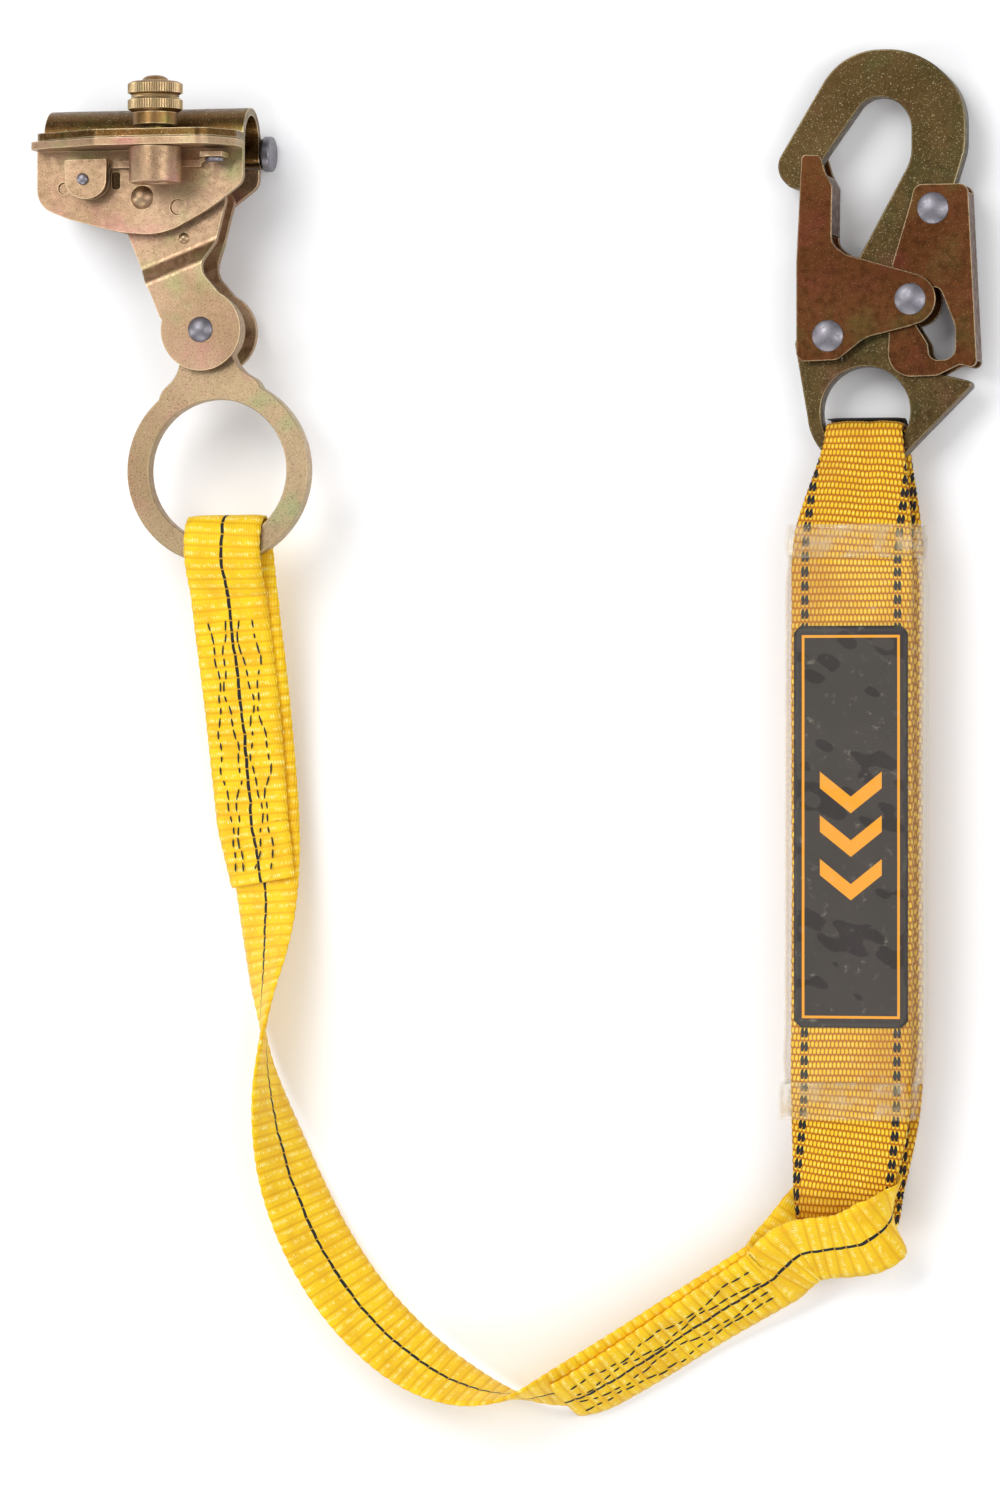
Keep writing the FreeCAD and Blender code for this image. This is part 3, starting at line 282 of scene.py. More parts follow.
def webbing(name, face, light, shade, rib, tracers):
    """Ribbed polyester: painted pale glints on the ribs, painted amber shade in the furrows, twill threads
    and tracer yarns.
    """
    s = Shader(name, Roughness=0.62, Sheen_Weight=0.10, Sheen_Roughness=0.4)
    s.main.inputs["Specular IOR Level"].default_value = 0.35
    along, across = s.uv()
    wander = s.sum("MULTIPLY", s.sum("SUBTRACT", s.noise(140, 1.5), 0.5), 0.16)
    skew = s.sum("MULTIPLY", s.sum("SUBTRACT", s.noise(70, 1.0), 0.5), 0.07)
    run = s.sum("ADD", along, skew)
    phase = s.sum("FRACT", s.sum("DIVIDE", run, rib * 100))
    furrow = s.span(s.sum("PINGPONG", run, rib * 50), 0.0, rib * 17, 1.0, 0.0)
    threads = s.sum("SINE", s.sum("ADD", s.sum("MULTIPLY", across, 2 * math.pi / 0.085),
                                  s.sum("MULTIPLY", along, 9.0)))
    # Painted glints: pale dashes along one slope of each rib, broken up by noise and the threads.
    crest = s.sum("MULTIPLY", s.span(phase, 0.14, 0.34), s.span(phase, 0.42, 0.62, 1.0, 0.0))
    painted_glint = s.sum("MULTIPLY", crest, s.span(s.noise(620, 3.0, rough=0.7), 0.44, 0.62))
    painted_glint = s.sum("MULTIPLY", painted_glint, s.span(threads, -0.8, 0.4, 0.25, 1.0))
    tone = s.mix(s.span(s.noise(120, 4.0, rough=0.6), 0.35, 0.7, 0.0, 0.5), face, shade)
    tone = s.mix(s.span(threads, -1.0, 0.3, 0.22, 0.0), tone, shade)
    # Painted shade: the furrows between the ribs are darkened towards the shade colour.
    tone = s.mix(s.sum("MULTIPLY", furrow, 0.62), tone, shade)
    tone = s.mix(s.sum("MULTIPLY", painted_glint, 0.80), tone, light)
    for middle, wide in tracers:
        away = s.sum("ABSOLUTE", s.sum("SUBTRACT", s.sum("ADD", across, wander), middle))
        line = s.span(away, wide * 0.75, wide, 1.0, 0.0)
        line = s.sum("MULTIPLY", line, s.span(furrow, 0.55, 1.0, 1.0, 0.35))
        tone = s.mix(line, tone, rgb(24, 20, 20))
    s.feed("Base Color", tone)
    ribs = s.bump(furrow, -0.6, 0.0005)
    s.feed("Normal", s.bump(threads, 0.35, 0.00010, ribs))
    return s.mat


def seeded_weave(name, face, light, gap, row, column, tracers):
    """Coarse weave: rows of raised seeds set like bricks, with painted shade in the gaps, painted
    highlights on the seed tops and bow-tie tracer stitches.
    """
    s = Shader(name, Roughness=0.60, Sheen_Weight=0.08, Sheen_Roughness=0.4)
    s.main.inputs["Specular IOR Level"].default_value = 0.30
    along, across = s.uv()
    rows = s.sum("DIVIDE", s.sum("ADD", along, s.sum("MULTIPLY", s.noise(60, 1.0), 0.05)), row * 100)
    index = s.sum("FLOOR", rows)
    odd = s.sum("MULTIPLY", s.sum("MODULO", index, 2.0), 0.5)
    columns = s.sum("ADD", s.sum("DIVIDE", across, column * 100), odd)
    tall = s.sum("SINE", s.sum("MULTIPLY", s.sum("FRACT", rows), math.pi))
    wide = s.sum("SINE", s.sum("MULTIPLY", s.sum("FRACT", columns), math.pi))
    seed = s.sum("MULTIPLY", tall, s.sum("ABSOLUTE", wide))
    # Painted highlight: the tops of the seeds are lightened, patchily by noise.
    painted_highlight_share = s.span(s.noise(420, 3.0, rough=0.7), 0.40, 0.62, 0.15, 0.85)
    # Painted shade: the gaps between the raised seeds take the darker gap colour.
    tone = s.mix(s.span(seed, 0.12, 0.55), gap, face)
    tone = s.mix(s.sum("MULTIPLY", s.span(seed, 0.62, 0.95), painted_highlight_share), tone, light)
    tone = s.mix(s.span(s.noise(34, 3.0), 0.42, 0.68, 0.0, 0.42), tone, gap)
    stretch = s.sum("PINGPONG", s.sum("ADD", along, 0.05), row * 100)
    waist = s.span(stretch, 0.0, row * 100, 0.025, 0.075, smooth=False)
    shown = s.span(stretch, row * 26, row * 34)
    for middle in tracers:
        for side in (-0.062, 0.062):
            away = s.sum("ABSOLUTE", s.sum("SUBTRACT", across, middle + side))
            line = s.span(s.sum("SUBTRACT", away, waist), -0.012, 0.0, 1.0, 0.0)
            tone = s.mix(s.sum("MULTIPLY", line, shown), tone, rgb(30, 26, 28))
    s.feed("Base Color", tone)
    s.feed("Normal", s.bump(seed, 0.8, 0.00045))
    return s.mat


def clear_vinyl():
    """Clear film, a little yellowed, with faint scuffs, crisp glints and a painted pale reflection at
    grazing angles.
    """
    s = Shader("clear_vinyl", Roughness=0.10, IOR=1.45, Alpha=0.08)
    s.main.inputs["Coat Weight"].default_value = 0.8
    s.main.inputs["Coat Roughness"].default_value = 0.05
    scuff = s.span(s.noise(240, 4.0, rough=0.7), 0.56, 0.74)
    s.feed("Base Color", rgb(250, 240, 214))
    # Painted reflection: the pale film turns more opaque where it is seen at a grazing angle, along the
    # sleeve's sides.
    rim = s.tree.nodes.new("ShaderNodeLayerWeight")
    rim.inputs["Blend"].default_value = 0.5
    grazing_painted_reflection = s.span(rim.outputs["Facing"], 0.45, 0.95, 0.0, 0.30)
    s.feed("Alpha", s.sum("ADD", s.span(scuff, 0.0, 1.0, 0.028, 0.10), grazing_painted_reflection))
    s.feed("Normal", s.bump(s.noise(95, 3.0), 0.22, 0.0006))
    return s.mat


def vinyl_weld():
    """The thicker welded bands at the ends of the sleeve, with amber shade and white glints."""
    s = Shader("vinyl_weld", Roughness=0.10, IOR=1.5, Alpha=0.3)
    s.main.inputs["Coat Weight"].default_value = 1.0
    s.main.inputs["Coat Roughness"].default_value = 0.05
    s.feed("Base Color", s.mix(s.noise(140, 3.0), rgb(214, 176, 96), rgb(246, 234, 206)))
    s.feed("Alpha", s.span(s.noise(150, 4.0, rough=0.65), 0.42, 0.72, 0.08, 0.40))
    s.feed("Normal", s.bump(s.noise(260, 3.0), 0.5, 0.0006))
    return s.mat


def label_film():
    """Near-black printed film with an amber inset frame and three plain chevrons, in centimetres."""
    s = Shader("label_film", Roughness=0.42)
    s.main.inputs["Specular IOR Level"].default_value = 0.22
    along, across = s.uv()
    far = s.sum("ABSOLUTE", across)
    end = s.sum("ABSOLUTE", along)
    side_line, end_line = 1.55, 6.1
    dark = s.mix(s.span(s.noise(38, 3.0), 0.35, 0.7), rgb(34, 28, 31), rgb(43, 37, 40))
    edge_side = s.span(s.sum("ABSOLUTE", s.sum("SUBTRACT", far, side_line)), 0.035, 0.05, 1.0, 0.0)
    inside = s.span(end, end_line, end_line + 0.01, 1.0, 0.0)
    edge_end = s.span(s.sum("ABSOLUTE", s.sum("SUBTRACT", end, end_line)), 0.035, 0.05, 1.0, 0.0)
    within = s.span(far, side_line + 0.04, side_line + 0.05, 1.0, 0.0)
    border = s.sum("MAXIMUM", s.sum("MULTIPLY", edge_side, inside),
                   s.sum("MULTIPLY", edge_end, within))
    slope = s.sum("ADD", along, s.sum("MULTIPLY", far, -0.8))
    bars = s.span(s.sum("PINGPONG", slope, 0.7), 0.42, 0.45)
    centre = s.span(s.sum("ABSOLUTE", s.sum("ADD", slope, 0.35)), 2.0, 2.01, 1.0, 0.0)
    chevrons = s.sum("MULTIPLY", s.sum("MULTIPLY", bars, centre), s.span(far, 1.0, 1.01, 1.0, 0.0))
    tone = s.mix(s.sum("MAXIMUM", border, chevrons), dark, rgb(238, 158, 30))
    s.feed("Base Color", tone)
    s.feed("Normal", s.bump(s.noise(150, 2.0), 0.15, 0.0003))
    return s.mat


def thread_yarn(name, colour):
    """Dull twisted sewing thread."""
    s = Shader(name, Roughness=0.8, Sheen_Weight=0.2)
    s.feed("Base Color", s.mix(s.noise(1500, 2.0), colour, rgb(70, 60, 45), "OVERLAY"))
    s.feed("Normal", s.bump(s.noise(3500, 2.0), 0.6, 0.0001))
    return s.mat


# ---------------------------------------------------------------- mesh helpers
def new_piece(name, verts, faces, body, material, smooth=True, uvs=None):
    """A mesh object in the part's frame, riding on a body. uvs holds one pair per face corner."""
    mesh = bpy.data.meshes.new(name)
    mesh.from_pydata([tuple(v) for v in verts], [], faces)
    if uvs is not None:
        layer = mesh.uv_layers.new(name="UVMap")
        layer.data.foreach_set("uv", np.asarray(uvs, dtype=np.float32).ravel())
    mesh.polygons.foreach_set("use_smooth", [smooth] * len(mesh.polygons))
    mesh.update()
    obj = bpy.data.objects.new(name, mesh)
    bpy.context.scene.collection.objects.link(obj)
    mesh.materials.append(material)
    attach(obj, body)
    return obj


def plain_mesh(obj):
    """The mesh that an object shows once its curve or modifiers are worked out."""
    bpy.context.view_layer.update()
    return bpy.data.meshes.new_from_object(obj.evaluated_get(bpy.context.evaluated_depsgraph_get()))


def spline_through(rows, closed=False):
    """Points along the smooth line whose control points are the rows of x, y, z."""
    data = bpy.data.curves.new("guide", "CURVE")
    data.dimensions = "3D"
    data.resolution_u = 16
    spline = data.splines.new("NURBS")
    spline.points.add(len(rows) - 1)
    for point, row in zip(spline.points, rows):
        point.co = (*row[:3], 1)
    spline.order_u = 3
    spline.use_endpoint_u = not closed
    spline.use_cyclic_u = closed
    guide = bpy.data.objects.new("guide", data)
    bpy.context.scene.collection.objects.link(guide)
    mesh = plain_mesh(guide)
    points = np.array([v.co[:] for v in mesh.vertices])
    bpy.data.objects.remove(guide)
    bpy.data.curves.remove(data)
    bpy.data.meshes.remove(mesh)
    return points


def evenly(step, line, *others, closed=False):
    """The line, and whatever runs beside it, sampled at even distances along the line."""
    if closed:
        line = np.vstack([line, line[:1]])
        others = [np.vstack([o, o[:1]]) for o in others]
    gaps = np.linalg.norm(np.diff(line, axis=0), axis=1)
    far = np.concatenate([[0], np.cumsum(gaps)])
    count = max(2, int(round(far[-1] / step)))
    marks = np.linspace(0, far[-1], count + 1)
    if closed:
        marks = marks[:-1]
    rows = []
    for values in (line, *others):
        columns = [np.interp(marks, far, column) for column in values.T]
        rows.append(np.stack(columns, axis=1))
    return marks, far[-1], rows


def unit(rows):
    """The rows, each brought to length one."""
    return rows / np.linalg.norm(rows, axis=1, keepdims=True)


def tangents(line, closed=False):
    """Unit direction of the line at each point."""
    if closed:
        return unit(np.roll(line, -1, axis=0) - np.roll(line, 1, axis=0))
    return unit(np.gradient(line, axis=0))


def ripple(along, across, seed, size):
    """Slow, repeatable waviness over a surface."""
    a = np.sin(along * 61 + across * 90 + seed) + np.sin(along * 37 - across * 140 + 2.3 * seed)
    return size * 0.5 * (a + 0.6 * np.sin(along * 149 + across * 60 + 4.1 * seed))


def woven_band(name, line, across, width, thick, rib, body, material,
               depth=0.00030, start=0.0, closed=False, seed=1, lift=None, sides=11):
    """A woven strap along a line: cross ribs, scalloped edges and rounded selvedges."""
    marks, total, (line, across, width) = evenly(rib / 8, line, across, width, closed=closed)
    if closed:
        pitch = total / round(total / rib)
    else:
        pitch = rib
    along = tangents(line, closed)
    across = unit(across - along * np.sum(along * across, axis=1, keepdims=True))
    normal = np.cross(along, across)
    place = np.linspace(1, -1, sides)
    count = len(marks)
    verts = np.zeros((count, 2 * sides, 3))
    half_width = width[:, 0] / 2
    uv_across = np.concatenate([place, place[::-1]])
    for k, p in enumerate(uv_across):
        up = 1 if k < sides else -1
        shift = ripple(marks, p * 0.012, seed, 0.00035) * (0 if closed else 1)
        ridge = np.abs(np.sin(np.pi * (marks + shift) / pitch)) ** 0.55
        edge = 1 - 0.62 * abs(p) ** 9
        high = up * (thick / 2 * edge + depth * (ridge - 0.6) * (1 - 0.5 * abs(p) ** 6))
        side = p * (half_width + 0.00028 * (ridge - 0.5)) + ripple(marks, 0, seed + 5, 0.00015)
        bend = np.zeros(count) if lift is None else lift(marks / total, p)
        verts[:, k] = line + across * side[:, None] + normal * (high + bend)[:, None]
    ring = 2 * sides
    faces = []
    uvs = []
    spread = width[:, 0] * 50
    last = count if closed else count - 1
    step = total / last * rib / pitch
    for i in range(last):
        n = (i + 1) % count
        u0 = (start + i * step) * 100
        u1 = (start + (i + 1) * step) * 100
        for k in range(ring):
            m = (k + 1) % ring
            faces.append((i * ring + k, n * ring + k, n * ring + m, i * ring + m))
            uvs += [(u0, uv_across[k] * spread[i]), (u1, uv_across[k] * spread[n]),
                    (u1, uv_across[m] * spread[n]), (u0, uv_across[m] * spread[i])]
    if not closed:
        faces.append(tuple(range(ring)))
        faces.append(tuple((count - 1) * ring + k for k in reversed(range(ring))))
        uvs += [(start * 100, a * spread[0]) for a in uv_across]
        uvs += [((start + total) * 100, a * spread[-1]) for a in reversed(uv_across)]
    piece = new_piece(name, verts.reshape(-1, 3), faces, body, material, uvs=uvs)
    return piece, line, along, across, normal


# ---------------------------------------------------------------- webbing
def route_line():
    """The free web's line and the direction across it, from the route."""
    line = spline_through(WEB_ROUTE)
    turn = spline_through([(row[3] * MM, i * 10 * MM, 0) for i, row in enumerate(WEB_ROUTE)])[:, 0]
    angle = np.radians(turn / MM)
    along = tangents(line)
    level = unit(np.cross(np.tile(UP, (len(line), 1)), along))
    rise = np.cross(along, level)
    across = level * np.cos(angle)[:, None] + rise * np.sin(angle)[:, None]
    return line, across, np.cross(along, across)


def pack_end_slip(x):
    """How far the tail at the pack lies below the free web's middle: less towards the pack."""
    return np.interp(x, [PACK_TAIL_X, PACK_JOIN_X], [PACK_END_SLIP, PACK_END_SLIP * 0.3])


def build_lanyard(yellow, thread):
    """The free web and its two sewn ends, as one cord with its stitching."""
    line, across, normal = route_line()
    width = np.full((len(line), 1), WEB_WIDTH)
    web, path, *_ = woven_band("lanyard_webbing", line, across, width, WEB_THICK, RIB,
                               "lanyard", yellow, start=0.16, seed=2)
    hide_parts("lanyard_web")

    # The end round the ring: cut end, tail on the free web, crest inside the ring, and back behind.
    kept = line[:, 1] > RING_TAIL_Y
    tail = (line + normal * LAYER)[kept][::-1]
    tail[:, 0] += np.interp(tail[:, 1], [RING_TAIL_Y, -0.060, 0.010], [0.0, RING_END_SLIP, -0.0032])
    tail_across = across[kept][::-1]
    x = tail[-1, 0]
    bend = [
        (x, 0.0153, 0.0206), (x - 0.0001, 0.0215, 0.0256), (x, 0.0290, 0.0292),
        (x + 0.0003, 0.0355, 0.0293), (x + 0.0006, 0.0400, 0.0268), (x + 0.0009, 0.0405, 0.0216),
        (x + 0.0016, 0.0345, 0.0196), (x + 0.0024, 0.0260, 0.0194), (-0.0891, 0.0153, 0.0184),
        (-0.0885, 0.0100, 0.0172),
    ]
    crest = spline_through(bend)
    ends_line = np.vstack([tail[:-1], crest])
    ends_across = np.vstack([tail_across[:-1], np.tile((-1.0, 0, 0), (len(crest), 1))])
    backwards = np.sum(ends_across * tail_across[-1], axis=1) < 0
    ends_across = np.where(backwards[:, None], -ends_across, ends_across)
    ring_end, *_ = woven_band("ring_end_webbing", ends_line, ends_across,
                              np.full((len(ends_line), 1), WEB_WIDTH), WEB_THICK, RIB,
                              "lanyard", yellow, seed=4)
    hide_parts("ring_loop", "ring_tail")

    # The end at the pack: cut end, tail beside the free web, round the pack's lower loop and back.
    kept = line[:, 0] > PACK_TAIL_X
    tail = (line + normal * LAYER - across * pack_end_slip(line[:, :1]))[kept]
    tail_across = across[kept]
    turns = [
        ((0.0955, -0.1976, 0.0186), (-0.40, 0.74, 0.54), WEB_WIDTH),
        ((0.1040, -0.1958, 0.0186), (-0.24, 0.76, 0.60), WEB_WIDTH),
        ((0.1130, -0.1952, 0.0186), (-0.12, 0.80, 0.58), WEB_WIDTH),
        ((0.1210, -0.1925, 0.0196), (-0.06, 0.90, 0.42), WEB_WIDTH),
        ((0.1264, -0.1878, 0.0184), (-0.03, 0.98, 0.20), 0.0254),
        ((0.1266, -0.1820, 0.0128), (-0.03, 1, 0), 0.0216),
        ((0.1195, -0.1776, 0.0105), (-0.05, 1, 0), 0.0185),
        ((0.1085, -0.1780, 0.0105), (-0.05, 1, 0), 0.0175),
        ((0.1005, -0.1822, 0.0107), (-0.30, 0.95, 0.05), 0.0175),
        ((0.0955, -0.1895, 0.0112), (-0.50, 0.85, 0.10), 0.0185),
        ((0.0918, -0.1965, 0.0124), (-0.52, 0.82, 0.18), 0.0220),
        ((0.0871, -0.2033, 0.0140), tuple(across[-1]), WEB_WIDTH),
    ]
    first = (tuple(tail[-1]), tuple(tail_across[-1]), WEB_WIDTH)
    turns = [first] + turns
    loop = spline_through([t[0] for t in turns])
    loop_across = spline_through([t[1] for t in turns])
    loop_width = spline_through([(t[2], 0, 0) for t in turns])[:, :1]
    ends_line = np.vstack([tail[:-1], loop])
    ends_across = np.vstack([tail_across[:-1], loop_across])
    ends_width = np.vstack([np.full((len(tail) - 1, 1), WEB_WIDTH), loop_width])
    pack_end, *_ = woven_band("pack_end_webbing", ends_line, ends_across, ends_width, WEB_THICK, RIB,
                              "lanyard", yellow, seed=7)
    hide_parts("pack_loop", "pack_tail")

    rows = stitch_rows(line, across, normal)
    stitches = stitching("lanyard_stitching", rows, thread)


def stitch_rows(line, across, normal):
    """The lines that the thread follows: four wandering rows at each sewn end, on both faces."""
    rows = []
    sewn = (
        (line[:, 1] < 0.006) & (line[:, 1] > RING_TAIL_Y + 0.004),
        (line[:, 0] > 0.0215) & (line[:, 0] < 0.0840),
    )
    for end, kept in enumerate(sewn):
        base = line[kept]
        reach = np.arange(len(base)) / len(base)
        if end == 0:
            slip = np.tile((RING_END_SLIP, 0, 0), (len(base), 1))
        else:
            slip = -across[kept] * pack_end_slip(base[:, :1])
        for row, offset in enumerate((-0.0078, -0.0037, 0.0029, 0.0068)):
            wave = (offset + 0.0012 * np.sin(reach * (9 + 2 * row) + row * 2.1)
                    + 0.0005 * np.sin(reach * 41 + row) + 0.0003 * np.sin(reach * 97 + 3 * row))
            side = across[kept] * wave[:, None]
            front = normal[kept] * (LAYER + WEB_THICK / 2 + 0.00018)
            back = normal[kept] * -(WEB_THICK / 2 + 0.00014)
            rows.append(base + slip + side + front)
            rows.append(base + side + back)
    return rows


def set_input(modifier, tree, name, value):
    """Give a modifier's input its value by the socket's identifier."""
    for item in tree.interface.items_tree:
        if item.item_type == "SOCKET" and item.in_out == "INPUT" and item.name == name:
            modifier[item.identifier] = value


class NodeTree:
    """A geometry node tree under construction."""

    def __init__(self, name, inputs):
        self.tree = bpy.data.node_groups.new(name, "GeometryNodeTree")
        self.tree.interface.new_socket("Geometry", in_out="INPUT", socket_type="NodeSocketGeometry")
        for label, kind, value in inputs:
            socket = self.tree.interface.new_socket(label, in_out="INPUT", socket_type=kind)
            if value is not None:
                socket.default_value = value
        self.tree.interface.new_socket("Geometry", in_out="OUTPUT", socket_type="NodeSocketGeometry")
        self.start = self.tree.nodes.new("NodeGroupInput")
        self.end = self.tree.nodes.new("NodeGroupOutput")

    def add(self, kind, links=None, **settings):
        node = self.tree.nodes.new(kind)
        for key, value in settings.items():
            setattr(node, key, value)
        for socket, source in (links or {}).items():
            target = node.inputs[socket]
            if isinstance(source, bpy.types.NodeSocket):
                self.tree.links.new(source, target)
            else:
                target.default_value = source
        return node

    def finish(self, geometry):
        """Realize instances, set the material and end the tree."""
        real = self.add("GeometryNodeRealizeInstances", {"Geometry": geometry})
        dyed = self.add("GeometryNodeSetMaterial", {"Geometry": real.outputs[0],
                                                   "Material": self.start.outputs["Material"]})
        self.tree.links.new(dyed.outputs[0], self.end.inputs[0])
        return self.tree


def grown(name, base, tree, values, body, smooth=True):
    """The plain mesh that a node tree makes from a base mesh, as a piece on a body."""
    seed = bpy.data.objects.new(name + "_seed", base)
    bpy.context.scene.collection.objects.link(seed)
    modifier = seed.modifiers.new("grow", "NODES")
    modifier.node_group = tree
    for label, value in values.items():
        set_input(modifier, tree, label, value)
    mesh = plain_mesh(seed)
    mesh.name = name
    bpy.data.objects.remove(seed)
    mesh.polygons.foreach_set("use_smooth", [smooth] * len(mesh.polygons))
    obj = bpy.data.objects.new(name, mesh)
    bpy.context.scene.collection.objects.link(obj)
    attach(obj, body)
    return obj


def stitch_tree():
    """Short rounded thread runs laid end to end along the edges of a mesh."""
    t = NodeTree("stitch_run", [("Pitch", "NodeSocketFloat", 0.004), ("Run", "NodeSocketFloat", 0.003),
                                ("Thread Radius", "NodeSocketFloat", 0.0002),
                                ("Material", "NodeSocketMaterial", None)])
    curve = t.add("GeometryNodeMeshToCurve", {"Mesh": t.start.outputs["Geometry"]})
    spaced = t.add("GeometryNodeResampleCurve",
                   {"Curve": curve.outputs[0], "Length": t.start.outputs["Pitch"]}, mode="LENGTH")
    capsule = t.add("GeometryNodeMeshUVSphere", {"Segments": 6, "Rings": 5, "Radius": 1.0})
    half = t.add("ShaderNodeMath", {0: t.start.outputs["Run"], 1: 0.5}, operation="MULTIPLY")
    vary = t.add("FunctionNodeRandomValue", data_type="FLOAT")
    for socket in vary.inputs:
        if socket.type == "VALUE" and socket.name in ("Min", "Max"):
            socket.default_value = 0.45 if socket.name == "Min" else 1.12
        if socket.name == "Seed":
            socket.default_value = 5
    share = [socket for socket in vary.outputs if socket.type == "VALUE"][0]
    long = t.add("ShaderNodeMath", {0: half.outputs[0], 1: share}, operation="MULTIPLY")
    size = t.add("ShaderNodeCombineXYZ", {"X": t.start.outputs["Thread Radius"],
                                          "Y": t.start.outputs["Thread Radius"], "Z": long.outputs[0]})
    tangent = t.add("GeometryNodeInputTangent")
    turn = t.add("FunctionNodeAlignRotationToVector", {"Vector": tangent.outputs[0]}, axis="Z")
    laid = t.add("GeometryNodeInstanceOnPoints",
                 {"Points": spaced.outputs[0], "Instance": capsule.outputs[0],
                  "Rotation": turn.outputs[0], "Scale": size.outputs[0]})
    return t.finish(laid.outputs[0])


def stitching(name, rows, thread, pitch=0.004, run=0.0037, radius=0.00033):
    """Dashes of thread along the rows: a run of thread at every pitch."""
    verts = []
    edges = []
    for row in rows:
        edges += [(len(verts) + i, len(verts) + i + 1) for i in range(len(row) - 1)]
        verts += [tuple(p) for p in row]
    base = bpy.data.meshes.new(name)
    base.from_pydata(verts, edges, [])
    return grown(name, base, stitch_tree(),
                 {"Pitch": pitch, "Run": run, "Thread Radius": radius, "Material": thread},
                 "lanyard")


# ---------------------------------------------------------------- shock pack
PACK_X = 0.1153
PACK_Z = 0.0124
EYE_X = 0.1180
HOOK_Z = 0.0093         # middle of the hook's plate
LOOP_Z = 0.0105         # middle of the pack's lower loop
PACK_THICK = 0.0024
PAD_THICK = 0.0008
CORE_LAYERS = 7
CORE_DEEP = 0.0182      # all the layers of tear webbing together


def pack_middle(y):
    """Middle of the pack web at that height: it leans a little towards both ends."""
    return np.interp(y, [-0.1777, -0.1454, 0.0277, 0.0602], [0.1129, PACK_X, PACK_X, EYE_X])


